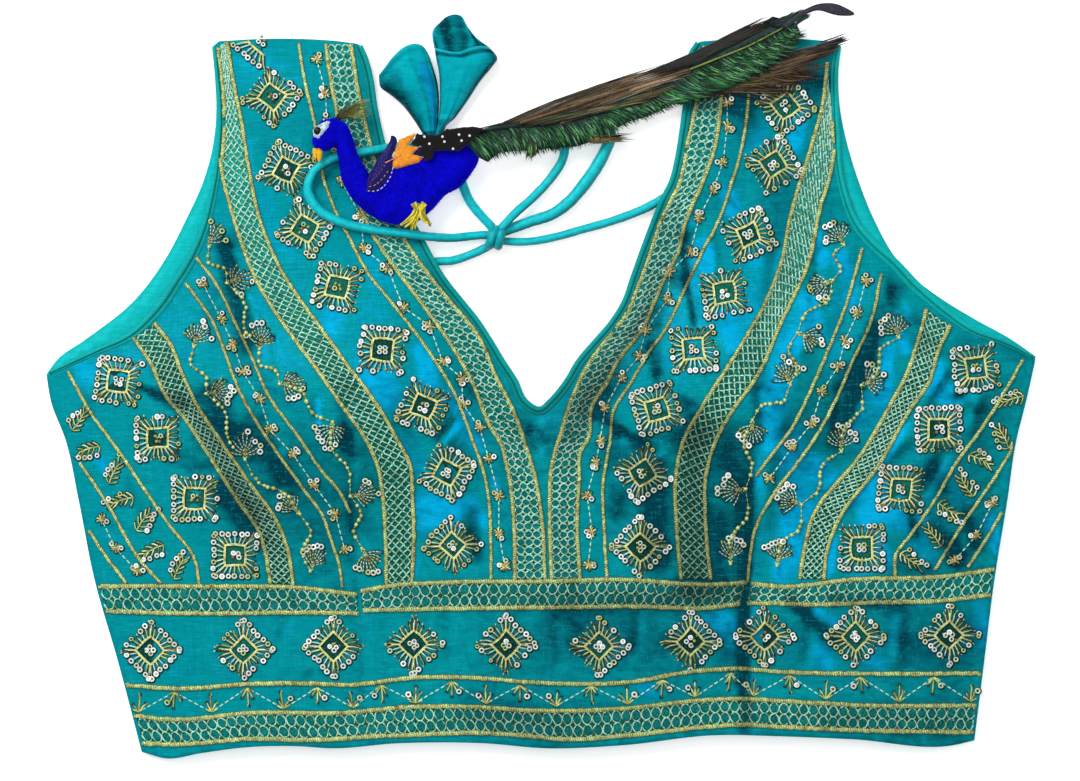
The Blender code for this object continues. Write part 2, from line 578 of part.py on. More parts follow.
def build_petal(name, left, right, lip, lean):
    """A petal folded from silk: a flattened cone, closed at its foot and open at its mouth."""
    share = np.linspace(0, 1, PETAL_ROWS)
    edges = []
    for side in (left, right):
        curve = smooth(side, 1.5)
        at = fractions(curve)
        edges.append(np.stack([np.interp(share, at, curve[:, k]) for k in (0, 1)], axis=1))
    middle, half = (edges[0] + edges[1]) / 2, (edges[1] - edges[0]) / 2
    thick = PETAL_FOOT + (PETAL_MOUTH - PETAL_FOOT) * ease(share * PETAL_SWELL)
    angles = 2 * np.pi * np.arange(PETAL_SIDES) / PETAL_SIDES
    across, upward = np.cos(angles), np.sin(angles)

    def ring(row, wall):
        reach = 1 - wall / np.linalg.norm(half[row])
        flat = middle[row] + np.outer(across, half[row] * reach)
        back_lip = np.clip(-upward, 0, 1) ** LIP_SPREAD * share[row] ** LIP_START
        back_lip *= 1 - lean * across
        flat = flat + np.outer(back_lip, lip)
        return np.column_stack([flat, SEAM_GAP + thick[row] + upward * (thick[row] - wall)])

    outer = [ring(row, 0) for row in range(PETAL_ROWS)]
    inner = [ring(row, PETAL_WALL) for row in range(1, PETAL_ROWS)]
    rings = outer + inner[::-1]
    points = np.vstack(rings + [outer[0].mean(axis=0)[None], inner[0].mean(axis=0)[None]])
    foot, hollow_foot = len(points) - 2, len(points) - 1
    faces = []
    for row in range(len(rings) - 1):
        for k in range(PETAL_SIDES):
            after = (k + 1) % PETAL_SIDES
            faces.append((row * PETAL_SIDES + k, row * PETAL_SIDES + after,
                          (row + 1) * PETAL_SIDES + after, (row + 1) * PETAL_SIDES + k))
    last = (len(rings) - 1) * PETAL_SIDES
    for k in range(PETAL_SIDES):
        after = (k + 1) % PETAL_SIDES
        faces.append((k, after, foot))
        faces.append((last + k, last + after, hollow_foot))
    add_mesh(name, points, faces, "silk")


def build_peacock():
    """The stuffed bird with its felt wing, eye, beak, crest and claw."""
    outline = resampled(BIRD_OUTLINE + BIRD_OUTLINE[:1], BIRD_EDGE_SPACING)[:-1]
    ring = np.vstack([outline, outline[:1]])
    underside = along_x(BIRD_UNDERSIDE)

    def swollen(x, y):
        depth = np.clip(distance_to(ring, x, y) / BIRD_ROUND, 0, 1)
        swell = np.sqrt(1 - (1 - depth) ** 2)
        return underside(x, y) + BIRD_SEAM + (BIRD_THICK - BIRD_SEAM) * swell

    sheet_solid("peacock_body", outline, swollen, underside, "velvet", BIRD_SPACING)
    for name, shape, slot in (("wing_base", WING_BASE, "felt_navy"),
                              ("wing_middle", WING_MIDDLE, "felt_orange"),
                              ("claw", CLAW, "felt_yellow")):
        sheet_solid(name, shape, along_x(BIRD_UNDERSIDE, FELT_RISE + FELT),
                    along_x(BIRD_UNDERSIDE, FELT_RISE), slot)
    sheet_solid("wing_tip", WING_TIP, along_x(WING_TIP_UNDERSIDE, FELT),
                along_x(WING_TIP_UNDERSIDE), "felt_black", WING_TIP_SPACING)
    sheet_solid("beak", BEAK, along_x(BIRD_UNDERSIDE, BEAK_RISE[1]),
                along_x(BIRD_UNDERSIDE, BEAK_RISE[0]), "felt_yellow")

    work = bmesh.new()
    bmesh.ops.create_icosphere(work, subdivisions=2, radius=EYE_RADIUS * MM)
    mesh = bpy.data.meshes.new("eye")
    work.to_mesh(mesh)
    work.free()
    eye = add_object("eye", mesh, "eye")
    eye.location = (EYE[0] * MM, EYE[1] * MM, (BIRD_UNDERSIDE[0][1] + EYE_RISE) * MM)
    eye.scale = (1, 1, EYE_FLATNESS)

    first, last = CREST_ANGLES
    fan = []
    for k in range(CREST_STRANDS):
        share = k / (CREST_STRANDS - 1)
        angle = math.radians(first + (last - first) * share)
        length = CREST_LENGTHS[0] + (CREST_LENGTHS[1] - CREST_LENGTHS[0]) * share
        for turn, reach in STRAND:
            at = angle + math.radians(turn)
            fan.append((CREST_ROOT[0] + reach * length * math.cos(at),
                        CREST_ROOT[1] + reach * length * math.sin(at)))
    fan += [(CREST_ROOT[0] + dx, CREST_ROOT[1] + dy) for dx, dy in CREST_BASE]
    sheet_solid("crest", fan[::-1], along_x(BIRD_UNDERSIDE, CREST_RISE[1]),
                along_x(BIRD_UNDERSIDE, CREST_RISE[0]), "crest")


def barbed(path, side):
    """An edge with the small teeth that a feather's barbs make."""
    edge = resampled(path, BARB_PITCH)
    teeth = np.array([BARB_DEPTH if k % 2 else 0.0 for k in range(len(edge))])
    teeth[-1] = 0
    return beside(edge, side * teeth)


def build_feathers():
    """Two flat tail feathers, one over the other, with a raised quill each."""
    for name, feather in FEATHERS.items():
        lower = barbed(feather["lower"], 1)
        upper = barbed(feather["upper"], -1)
        outline = np.vstack([lower, upper[::-1]])
        quill = smooth(feather["quill"], 4)
        height = along_x(FEATHER_UNDERSIDE, feather["layer"])

        def over(x, y, quill=quill, height=height, rise=feather["quill_rise"]):
            ridge = np.exp(-(distance_to(quill, x, y) / QUILL_HALF_WIDTH) ** 2)
            return height(x, y) + VANE + rise * ridge

        sheet_solid(name, outline, over, height, "feather", FEATHER_SPACING)


def main():
    for piece in list(bpy.data.objects):
        bpy.data.objects.remove(piece)
    build_panels()
    build_ties()
    for name, petal in PETALS.items():
        build_petal(name, **petal)
    build_peacock()
    build_feathers()


main()
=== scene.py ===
"""Looks of the choli blouse: silk, bindings, embroidery, tie, folded petals and the peacock ornament.

The cloth's form follows the model's own height formula, in millimetres; MM turns it into metres.
The embroidery is laid out on a drawing grid of half-millimetre steps, x to the right and y down.
"""
import math

import bpy
import numpy as np
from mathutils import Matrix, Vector
from mathutils.geometry import delaunay_2d_cdt


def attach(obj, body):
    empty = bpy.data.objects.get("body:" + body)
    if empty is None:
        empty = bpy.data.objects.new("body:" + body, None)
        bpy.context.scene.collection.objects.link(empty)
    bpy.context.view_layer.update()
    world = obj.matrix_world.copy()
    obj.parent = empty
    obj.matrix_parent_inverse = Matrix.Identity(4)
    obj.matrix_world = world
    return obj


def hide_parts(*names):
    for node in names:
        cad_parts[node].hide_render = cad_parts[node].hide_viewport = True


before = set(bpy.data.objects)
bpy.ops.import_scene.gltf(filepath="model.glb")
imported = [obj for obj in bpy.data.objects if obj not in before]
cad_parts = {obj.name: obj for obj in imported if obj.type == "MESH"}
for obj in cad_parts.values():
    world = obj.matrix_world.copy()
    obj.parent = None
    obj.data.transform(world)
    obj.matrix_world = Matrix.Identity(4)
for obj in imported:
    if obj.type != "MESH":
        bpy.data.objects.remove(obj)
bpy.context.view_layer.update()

MM = 0.001
GRID = 0.5                     # millimetres to a step of the drawing grid
GRID_MIDDLE = (541, 398.5)     # the step over the frame's origin
draw = np.random.default_rng(11)      # the one source of all random numbers

# ---------------------------------------------------------------- the model's form, in millimetres
CLOTH = 1.5
SEAM_GAP = 0.3
FRONT_REST = CLOTH + SEAM_GAP
BACK_NECK_SETBACK = 9
# Cut lines of the panels, as points on their edges
HEM = [(-199.5, -176.5), (-187.5, -179.75), (-169.5, -177), (-147, -174), (-120.5, -173.5),
       (-105, -174.5), (-71.5, -172), (-28.5, -172), (3, -174.5), (40.5, -173), (86.5, -168),
       (119, -168.5), (155.5, -170), (207, -173), (216.5, -170.8)]
SIDE_LEFT = [(-199.5, -176.5), (-211.5, -130.8), (-223, -90.8), (-231, -50.8), (-237.5, -20.8),
             (-245, -0.8), (-246.9, 10.4)]
SIDE_RIGHT = [(216.5, -170.8), (221.5, -130.8), (226.5, -90.8), (233, -50.8), (237.5, -20.8),
              (242.5, -0.8), (246.8, 18.6)]
BACK_ARMHOLE_LEFT = [(-247.25, 12), (-242, 19.3), (-228, 29.3), (-203, 49.3), (-188, 69.3),
                     (-177.5, 89.3), (-168.5, 109.3), (-163.5, 129.3), (-162.3, 146),
                     (-163, 160), (-164.2, 176)]
BACK_ARMHOLE_RIGHT = [(247.25, 21), (235.5, 29.3), (217.5, 39.3), (201, 49.3), (187.5, 59.3),
                      (178, 69.3), (166.5, 89.3), (158.5, 109.3), (152.5, 129.3),
                      (149.2, 147), (148.7, 164), (150, 176)]
FRONT_ARMHOLE_LEFT = [(-246, 13.3), (-225, 23.3), (-204.5, 33.8), (-193, 45.8), (-184.5, 58.3),
                      (-176.5, 70.8), (-170, 85.3), (-166, 99.3), (-163.3, 113.3),
                      (-161.8, 127), (-161.3, 146), (-162.6, 161), (-164, 175.8)]
FRONT_ARMHOLE_RIGHT = [(246, 21.5), (232.3, 28.6), (216.3, 34.8), (202, 45.5), (189.5, 57),
                       (177, 70), (167, 78.5), (159.5, 87), (153.3, 100.8), (149.8, 116.8),
                       (149, 131), (148.2, 149.3), (148.2, 164), (149.6, 175.6)]
NECK = [(-89.5, 176.6), (-86.5, 169.3), (-84, 159.3), (-82, 146), (-78.5, 129.3),
        (-73.5, 110), (-66.5, 94.5), (-58.5, 79.3), (-47, 59.3), (-39, 49.3), (-31, 39.3),
        (-24.5, 29.3), (-18.5, 19.3), (-12, 9.3), (-7, -0.8), (-0.5, -4.3), (3.7, -0.8),
        (12, 9.3), (18, 19.3), (26.5, 29.3), (35, 39.3), (41, 49.3), (44.5, 59.3),
        (48, 69.3), (55.5, 89.3), (59.5, 99.3), (64.5, 109.3), (67, 119.3), (69.5, 134.3),
        (71.5, 149), (73.3, 162), (73.8, 172), (77.5, 178.2)]
SHOULDER_LEFT = [(-161, 178.5), (-142, 179.6), (-123.5, 179.75), (-104, 178.8), (-89.5, 177)]
SHOULDER_RIGHT = [(77.5, 178.2), (92, 179.3), (110, 179.75), (129.5, 179.6), (146.5, 178.3)]
# The left and the right dart, from the hem up to the tip
DARTS = [
    [(-85.5, -168), (-89.5, -108), (-92, -80), (-94.5, -21)],
    [(102, -164), (103.5, -100), (107, -60), (105.5, -24)],
]
DART_DEPTH = 1.5
DART_SHOWN = (0.5, 1.0)        # the left dart is pressed flatter than the right one
DART_HALF_WIDTH = 3.4
BODY_LIFT = 4.2
BODY_LIFT_RUN = 60
STRAP_LIFT = 2.2
# Centre x, y, rise, reach across and reach along
BUSTS = [(-97, 2, 12.5, 50, 44), (105, 4, 12.5, 50, 44)]
# Where the ends of the tie lift the neck's edge: x, y, rise, reach
TIE_LIFTS = [(-55, 67.5, 4.6, 14), (63, 101.5, 4.6, 14)]
# Large folds: x0, y0, x1, y1, rise (a trough is negative), half-width
FOLDS = [
    (-153, 74, -139, 26, -1.5, 8),
    (-205, 10, -168, -55, 1.2, 11),
    (77, 66, 80, 18, 1.3, 9),
    (62, 60, 63, 10, -1.2, 8),
    (36, 0, 50, -32, -1.2, 8),
    (-52, 10, -47, -62, 1.0, 10),
    (160, 66, 150, 32, -1.4, 8),
    (205, -5, 172, -70, 1.2, 11),
    (2, -40, 4, -82, -0.9, 9),
]
# Share of the armhole's length, and width there
ARMHOLE_BINDING_WIDTH = [(0, 1.8), (0.15, 2.8), (0.35, 5.4), (0.5, 4.6), (0.65, 3.4), (1, 3.2)]
NECK_BINDING_WIDTH = 4.2

CREASE_GAIN = 1.5
# Finer creases of the silk on the drawing grid: x0, y0, x1, y1, rise (a trough is negative),
# half-width in millimetres
CREASES = [
    (143, 391, 184, 420, -0.9, 2.6), (180, 456, 212, 473, -0.8, 2.8), (221, 503, 247, 528, -0.7, 2.6),
    (205, 421, 228, 440, -0.6, 2.2), (266, 421, 280, 448, -0.7, 2.6), (274, 341, 282, 376, -0.8, 2.2),
    (256, 461, 280, 489, -0.8, 2.8), (223, 380, 231, 394, 0.6, 3.0), (317, 398, 318, 420, -0.6, 2.0),
    (236, 250, 247, 292, -1.0, 3.0), (250, 296, 262, 344, -0.9, 2.6), (262, 250, 272, 300, 0.6, 4.0),
    (347, 400, 352, 445, -1.0, 3.0), (331, 352, 349, 396, -0.5, 4.0), (453, 424, 441, 441, -0.9, 2.4),
    (440, 450, 462, 512, 0.8, 6.0), (480, 516, 484, 560, -0.6, 4.5), (424, 430, 436, 470, 0.5, 3.5),
    (532, 433, 539, 449, -0.7, 2.2), (545, 424, 556, 440, 0.5, 3.0), (594, 409, 622, 436, -0.8, 2.8),
    (622, 436, 656, 451, -0.9, 3.0), (613, 470, 622, 530, -0.5, 5.0), (662, 500, 672, 560, -0.6, 5.0),
    (684, 243, 689, 280, -1.1, 2.4), (689, 280, 697, 323, -1.1, 2.4), (700, 296, 718, 318, 0.9, 3.4),
    (718, 318, 733, 352, 0.9, 3.4), (652, 349, 659, 376, -0.9, 2.4), (659, 376, 690, 407, -0.8, 2.4),
    (709, 234, 715, 270, 0.8, 2.8), (771, 408, 780, 424, 0.8, 3.6), (806, 298, 800, 350, 0.9, 4.0),
    (786, 350, 783, 372, 0.8, 3.0), (820, 250, 812, 300, -0.7, 3.0), (884, 284, 887, 298, 0.6, 3.0),
    (906, 312, 920, 334, 0.9, 3.2), (944, 370, 924, 400, 1.0, 3.6), (906, 436, 882, 461, 1.0, 4.0),
    (978, 400, 970, 428, 0.8, 3.4), (869, 344, 868, 358, 0.7, 3.0), (870, 352, 880, 368, -0.9, 2.6),
    (839, 388, 836, 424, -0.8, 2.8), (893, 293, 906, 310, -0.8, 2.4), (986, 380, 957, 399, -0.8, 2.8),
    (915, 405, 900, 428, -0.7, 3.0), (860, 470, 846, 500, 0.7, 4.0), (812, 540, 826, 560, -0.5, 3.0),
    (943, 455, 925, 490, -0.6, 3.2), (950, 300, 990, 322, -0.6, 2.2), (776, 250, 770, 300, -0.6, 4.0),
    (735, 360, 722, 420, -0.5, 3.5), (757, 392, 764, 440, -0.9, 2.8), (770, 455, 762, 520, 0.5, 4.0),
    (330, 180, 345, 205, -0.6, 3.0), (300, 150, 318, 175, 0.4, 4.0), (232, 55, 262, 62, -0.35, 2.5),
    (160, 628, 172, 668, -0.35, 3.0), (286, 620, 282, 640, -0.35, 2.5), (300, 668, 330, 664, 0.3, 3.0),
    (448, 612, 452, 660, -0.35, 3.0), (556, 620, 560, 664, -0.3, 3.0), (640, 612, 636, 650, -0.35, 2.6),
    (712, 640, 700, 668, -0.3, 2.6), (812, 612, 806, 660, -0.35, 3.0), (900, 618, 896, 660, 0.4, 3.0),
    (92, 420, 110, 452, -0.5, 2.4), (70, 445, 84, 470, 0.5, 3.0), (118, 528, 150, 560, -0.4, 2.6),
]
# Patches of painted sheen (blue highlights of the silk) and of painted shade, cast shadows included,
# each spread along a short line of the grid: x0, y0, x1, y1, reach in steps, blue, shade
SHEEN = [
    (380, 372, 383, 398, 12, 0.9, 0), (385, 285, 372, 320, 14, 0.12, 0), (335, 315, 330, 330, 10, 0.4, 0),
    (366, 255, 375, 275, 11, 0.2, 0), (421, 350, 432, 385, 7, 0.85, 0), (452, 395, 462, 412, 7, 0.85, 0),
    (405, 440, 418, 470, 12, 0.55, 0), (425, 510, 450, 512, 19, 1.0, 0), (470, 500, 482, 520, 8, 0.7, 0),
    (470, 430, 480, 450, 7, 0.6, 0), (495, 480, 500, 500, 5, 0.6, 0), (415, 555, 412, 575, 8, 0.5, 0),
    (75, 360, 90, 375, 10, 0.4, 0.15), (175, 300, 185, 320, 11, 0.0, 0.2), (318, 400, 318, 425, 5, 0.5, 0.1),
    (222, 240, 246, 345, 8, 0, 0.8), (205, 290, 215, 340, 13, 0, 0.35), (262, 300, 275, 350, 11, 0, 0.3),
    (240, 350, 290, 400, 16, 0, 0.3), (145, 390, 185, 405, 6, 0, 0.75), (212, 390, 236, 440, 11, 0, 0.75),
    (250, 425, 285, 480, 15, 0, 0.7), (165, 455, 200, 470, 6, 0, 0.6), (222, 490, 245, 525, 13, 0, 0.65),
    (200, 400, 262, 540, 16, 0, 0.4), (290, 500, 330, 560, 20, 0, 0.3), (350, 430, 352, 450, 8, 0, 0.85),
    (362, 490, 358, 530, 11, 0, 0.4), (345, 380, 352, 400, 7, 0, 0.4), (470, 535, 478, 550, 8, 0, 0.7),
    (468, 380, 475, 395, 7, 0, 0.45), (520, 422, 545, 440, 11, 0, 0.45), (440, 455, 452, 440, 5, 0, 0.3),
    (545, 430, 640, 350, 26, 0, 0.42), (585, 405, 640, 445, 6, 0, 0.95), (640, 445, 660, 460, 7, 0, 0.6),
    (684, 235, 694, 330, 6, 0, 0.95), (655, 350, 662, 385, 5, 0, 0.9), (662, 385, 695, 410, 7, 0, 0.6),
    (668, 285, 650, 330, 13, 0, 0.5), (612, 455, 640, 465, 20, 0, 0.4), (652, 480, 655, 560, 15, 0, 1.0),
    (622, 495, 620, 510, 11, 0, 0.7), (690, 420, 690, 580, 20, 0, 0.5), (725, 430, 735, 480, 16, 0, 0.5),
    (742, 490, 745, 575, 8, 0, 1.0), (722, 520, 722, 575, 14, 0, 0.6), (758, 500, 757, 575, 5, 0, 0.5),
    (700, 245, 702, 262, 6, 0.9, 0), (712, 285, 722, 300, 7, 0.5, 0), (722, 312, 735, 348, 7, 0.7, 0),
    (740, 255, 765, 265, 10, 0.35, 0), (758, 300, 748, 360, 10, 0, 0.35), (810, 300, 814, 335, 8, 0.95, 0),
    (795, 340, 785, 380, 10, 0.6, 0), (775, 390, 772, 440, 14, 0.9, 0), (800, 430, 790, 460, 10, 0.6, 0),
    (815, 465, 825, 475, 13, 1.0, 0), (845, 255, 850, 300, 9, 0.5, 0), (835, 300, 830, 380, 10, 0.35, 0.1),
    (872, 330, 835, 440, 9, 0, 0.85), (885, 300, 850, 390, 13, 0, 0.45), (760, 370, 765, 410, 8, 0, 0.5),
    (886, 350, 880, 395, 8, 0.95, 0), (900, 335, 905, 350, 5, 0.8, 0), (858, 395, 850, 430, 9, 0.75, 0),
    (892, 425, 885, 455, 9, 0.85, 0), (868, 495, 872, 515, 13, 1.0, 0), (850, 480, 845, 500, 9, 0.7, 0),
    (795, 520, 800, 545, 12, 1.0, 0), (780, 555, 778, 575, 8, 0.6, 0), (832, 540, 828, 570, 5, 0.9, 0),
    (930, 370, 940, 390, 11, 0.95, 0), (950, 400, 960, 440, 9, 0.4, 0), (955, 465, 962, 500, 9, 0.4, 0.2),
    (930, 470, 940, 490, 11, 0.3, 0.6), (905, 530, 930, 560, 12, 0.5, 0.1), (948, 540, 955, 560, 8, 0, 0.6),
    (960, 350, 985, 335, 13, 0, 0.35), (1005, 340, 1022, 350, 11, 0, 0.5), (960, 395, 975, 410, 6, 0, 0.55),
    (1000, 460, 1005, 480, 8, 0.3, 0.1), (985, 520, 990, 540, 8, 0.4, 0.2), (905, 312, 915, 322, 9, 0.2, 0.5),
    (880, 275, 900, 290, 8, 0, 0.45), (235, 55, 285, 85, 20, 0.2, 0), (240, 150, 245, 200, 12, 0.4, 0),
    (265, 200, 285, 255, 14, 0.2, 0), (738, 110, 730, 200, 24, 0.2, 0.2), (785, 175, 770, 280, 18, 0.1, 0.38),
    (755, 100, 752, 125, 18, 0, 0.3), (800, 115, 795, 145, 8, 1.0, 0), (762, 130, 755, 150, 9, 0.4, 0),
    (728, 195, 732, 210, 7, 0.9, 0), (695, 215, 693, 222, 5, 0.9, 0), (709, 250, 708, 270, 6, 0.9, 0),
    (815, 235, 822, 260, 6, 0.9, 0), (838, 255, 842, 270, 6, 0.6, 0), (686, 243, 690, 250, 5, 0, 0.9),
    (670, 270, 680, 285, 7, 0, 0.85), (700, 92, 830, 80, 16, 0, 0.7), (690, 104, 745, 108, 9, 0, 0.8),
    (560, 635, 735, 640, 30, 0.15, 0.32), (700, 625, 735, 625, 11, 0.8, 0), (720, 600, 735, 650, 7, 0.6, 0),
    (745, 590, 747, 730, 6, 0, 0.9), (790, 640, 985, 640, 30, 0.25, 0.34), (790, 600, 832, 638, 7, 0, 0.9),
    (808, 606, 835, 625, 5, 1.0, 0), (835, 600, 900, 605, 9, 0, 0.6), (870, 655, 880, 665, 8, 0.5, 0),
    (905, 640, 925, 655, 14, 0.35, 0.2), (975, 600, 985, 640, 9, 0.6, 0), (820, 650, 828, 665, 7, 0.6, 0),
    (640, 685, 652, 692, 9, 0.5, 0), (480, 705, 560, 735, 22, 0, 0.32), (840, 715, 960, 722, 20, 0, 0.28),
    (560, 610, 740, 595, 14, 0, 0.4), (520, 600, 500, 660, 12, 0, 0.15), (340, 590, 352, 600, 9, 0, 0.25),
    (120, 660, 300, 625, 12, 0.1, 0), (870, 560, 850, 590, 9, 0.3, 0), (570, 560, 575, 640, 10, 0, 0.15),
    (668, 235, 640, 330, 20, 0, 0.34), (612, 372, 572, 425, 20, 0, 0.30), (566, 470, 566, 570, 16, 0, 0.18),
    (700, 430, 694, 575, 22, 0, 0.34), (160, 372, 250, 500, 20, 0, 0.28), (262, 515, 284, 575, 20, 0, 0.26),
    (214, 262, 262, 392, 26, 0, 0.26), (300, 440, 340, 520, 24, 0, 0.22), (400, 480, 400, 575, 14, 0, 0.22),
    (500, 650, 735, 652, 30, 0, 0.22), (480, 716, 700, 712, 26, 0, 0.22), (390, 598, 730, 594, 15, 0, 0.22),
    (770, 722, 960, 726, 18, 0, 0.16), (200, 600, 340, 600, 12, 0, 0.14), (500, 430, 520, 560, 14, 0, 0.14),
    (372, 372, 392, 400, 20, 0.5, 0), (428, 390, 462, 430, 20, 0.5, 0), (770, 300, 760, 400, 24, 0.3, 0),
    (782, 470, 800, 560, 26, 0.4, 0), (880, 400, 870, 500, 26, 0.4, 0), (940, 400, 930, 520, 20, 0.25, 0),
    (890, 505, 902, 520, 7, 0.9, 0), (918, 512, 924, 520, 4, 0.8, 0), (882, 548, 890, 562, 6, 0.9, 0),
    (990, 520, 998, 550, 6, 0.8, 0), (935, 525, 960, 560, 10, 0.25, 0.5), (965, 515, 975, 545, 7, 0.2, 0.6),
    (908, 508, 915, 535, 4, 0, 0.6), (895, 566, 930, 570, 8, 0.2, 0.4), (798, 470, 812, 520, 20, 0.4, 0),
    (650, 437, 700, 437, 10, 0, 0.4), (742, 440, 752, 480, 9, 0.5, 0), (100, 500, 108, 540, 8, 0.15, 0.25),
    (600, 390, 650, 325, 20, 0, 0.32), (572, 440, 590, 405, 16, 0, 0.25), (900, 330, 935, 350, 9, 0.1, 0.35),
    (128, 480, 150, 530, 7, 0, 0.3), (96, 450, 104, 470, 5, 0.45, 0), (84, 390, 96, 410, 6, 0, 0.35),
]


def srgb(red, green, blue):
    """Linear values of a display colour given from 0 to 255."""
    values = np.array([red, green, blue], float) / 255
    return np.where(values < 0.04045, values / 12.92, ((values + 0.055) / 1.055) ** 2.4)


# Silk: middle colour, blue of its painted sheen, deep colour of its painted shade and darker slubs
SILK_MID = srgb(0, 130, 138)
SILK_SHEEN_BLUE = srgb(0, 158, 206)
SILK_DEEP = srgb(0, 44, 56)
LINING = srgb(4, 158, 156)
PIPING = srgb(4, 156, 150)
CORD = srgb(6, 184, 190)
GOLD_LIGHT = srgb(202, 218, 142)
GOLD_BRIGHT = srgb(234, 234, 160)
GOLD_DARK = srgb(44, 62, 40)
GOLD_WARM = srgb(166, 178, 98)
COPPER = srgb(142, 118, 84)
ROSE_GOLD = srgb(206, 160, 112)
MINT = srgb(192, 248, 226)
MINT_SHADE = srgb(14, 124, 100)
TRELLIS_GROUND = srgb(2, 96, 78)
NET_GROUND = srgb(2, 84, 66)
GROUND_LIT = srgb(20, 168, 150)
RING_GROUND = srgb(6, 122, 118)
SHADOW_GREEN = srgb(6, 52, 44)
DIAMOND_GREENS = (srgb(10, 100, 88), srgb(4, 66, 58))
# A dark green for bugle beads and for painted shadows
STITCH_AND_SHADOW_DARK = srgb(8, 70, 56)
THREAD_DARK = srgb(26, 28, 24)
PEARL = srgb(228, 238, 230)
PEARL_LIT = srgb(252, 253, 250)
VELVET = srgb(6, 4, 214)
SKY = srgb(226, 250, 255)
ORANGE = srgb(248, 160, 48)
YELLOW = srgb(226, 214, 62)
BEAK_YELLOW = srgb(246, 186, 30)
NAVY = srgb(26, 14, 92)
BLACK = srgb(16, 14, 16)
BARB_DEEP = srgb(8, 46, 44)
QUILL_GREEN = srgb(116, 132, 58)


# ---------------------------------------------------------------- curves
def on_grid(points):
    """Millimetres in the frame from steps of the drawing grid."""
    points = np.array(points, float).reshape(-1, 2)
    return np.column_stack([(points[:, 0] - GRID_MIDDLE[0]) * GRID,
                            (GRID_MIDDLE[1] - points[:, 1]) * GRID])


def smooth(points, step):
    """Points about step apart on a smooth curve through the given ones, ends included."""
    knots = np.array(points, float)
    chords = np.linalg.norm(np.diff(knots, axis=0), axis=1)
    at = np.concatenate([[0], np.cumsum(chords)])
    slopes = np.gradient(knots, at, axis=0)
    curve = []
    for i, chord in enumerate(chords):
        count = max(1, round(chord / step))
        for k in range(count):
            t = k / count
            a = (1 + 2 * t) * (1 - t) ** 2
            b = t * (1 - t) ** 2
            c = t * t * (3 - 2 * t)
            d = t * t * (t - 1)
            curve.append(a * knots[i] + b * chord * slopes[i]
                         + c * knots[i + 1] + d * chord * slopes[i + 1])
    curve.append(knots[-1])
    return np.array(curve)


def run_of(path):
    """Distance travelled along a path at each of its points."""
    return np.concatenate([[0], np.cumsum(np.linalg.norm(np.diff(path, axis=0), axis=1))])


def length_of(path):
    """The whole length of a path."""
    return float(run_of(path)[-1])


def fractions(path):
    """The run of a path at each of its points, as a share from 0 to 1."""
    run = run_of(path)
    return run / run[-1]


def at_run(path, run, places):
    """The points of a path at some places of its run."""
    return np.stack([np.interp(places, run, path[:, k]) for k in range(path.shape[1])], axis=-1)


def at_share(path, share):
    """The points of a path at shares from 0 to 1 of its length."""
    return at_run(path, fractions(path), share)


def evened(points, fine_step, count_for):
    """The curve through some points with evenly spread ones, as many as count_for says for its length."""
    fine = smooth(points, fine_step) if len(points) > 2 else np.array(points, float)
    run = run_of(fine)
    return at_run(fine, run, np.linspace(0, run[-1], count_for(run[-1])))


def resampled(points, step):
    """The same curve with points evenly about step apart."""
    return evened(points, step / 8, lambda length: max(2, round(length / step) + 1))


def spread_to(points, count):
    """The same curve with count even points."""
    return evened(points, 1.0, lambda length: count)


def unit(ways):
    """The directions of some vectors, each one long."""
    return ways / (np.linalg.norm(ways, axis=-1, keepdims=True) + 1e-9)


def beside(path, distance):
    """The path moved to its right-hand side by a distance, one number or one for each point."""
    along = unit(np.gradient(path, axis=0))
    right = np.stack([along[:, 1], -along[:, 0]], axis=1)
    return path + right * np.reshape(distance, (-1, 1))


def closed(outline):
    """The outline with its first point again at its end."""
    return np.vstack([outline, outline[:1]])


def divided(outline, step):
    """A closed outline with its straight sides divided into pieces about step long."""
    points = []
    for a, b in zip(outline, np.roll(outline, -1, axis=0)):
        pieces = max(1, round(np.linalg.norm(b - a) / step))
        points += [a + (b - a) * k / pieces for k in range(pieces)]
    return np.array(points)


def anticlockwise(outline):
    """The outline turned round if it runs clockwise."""
    after = np.roll(outline, -1, axis=0)
    area = np.sum(outline[:, 0] * after[:, 1] - after[:, 0] * outline[:, 1])
    return outline if area > 0 else outline[::-1]


def distance_to(path, x, y):
    """Distance of each point x, y to the nearest point of an open path."""
    path = np.asarray(path, float)
    start = path[:-1]
    run = path[1:] - start
    found = []
    for part in np.array_split(np.arange(len(x)), max(1, len(x) // 20000)):
        px = x[part][:, None] - start[None, :, 0]
        py = y[part][:, None] - start[None, :, 1]
        t = np.clip((px * run[:, 0] + py * run[:, 1]) / (run ** 2).sum(axis=1), 0, 1)
        found.append(np.hypot(px - t * run[:, 0], py - t * run[:, 1]).min(axis=1))
    return np.concatenate(found)


def inside(outline, x, y):
    """Whether each point x, y lies inside a closed outline."""
    crossings = np.zeros(len(x), int)
    for (ax, ay), (bx, by) in zip(outline, np.roll(outline, -1, axis=0)):
        if ay != by:
            straddles = (ay > y) != (by > y)
            crossings += straddles & (x < ax + (y - ay) * (bx - ax) / (by - ay))
    return crossings % 2 == 1


def ease(t):
    """0 below 0, 1 above 1, and a smooth rise between them."""
    t = np.clip(t, 0, 1)
    return t * t * (3 - 2 * t)


def looked_up(rows, at):
    """The second values of some rows, read between their first values."""
    table = np.array(rows, float)
    return np.interp(at, table[:, 0], table[:, 1])


def ridges(rows, x, y):
    """The sum of soft ridges along straight lines: rows of x0, y0, x1, y1, rise, half-width."""
    return sum(rise * np.exp(-(distance_to([(x0, y0), (x1, y1)], x, y) / wide) ** 2)
               for x0, y0, x1, y1, rise, wide in rows)


def in_frame(rows):
    """Rows that start with a line's two ends on the drawing grid, with the ends in millimetres."""
    return [(*on_grid([row[:2], row[2:4]]).ravel(), *row[4:]) for row in rows]


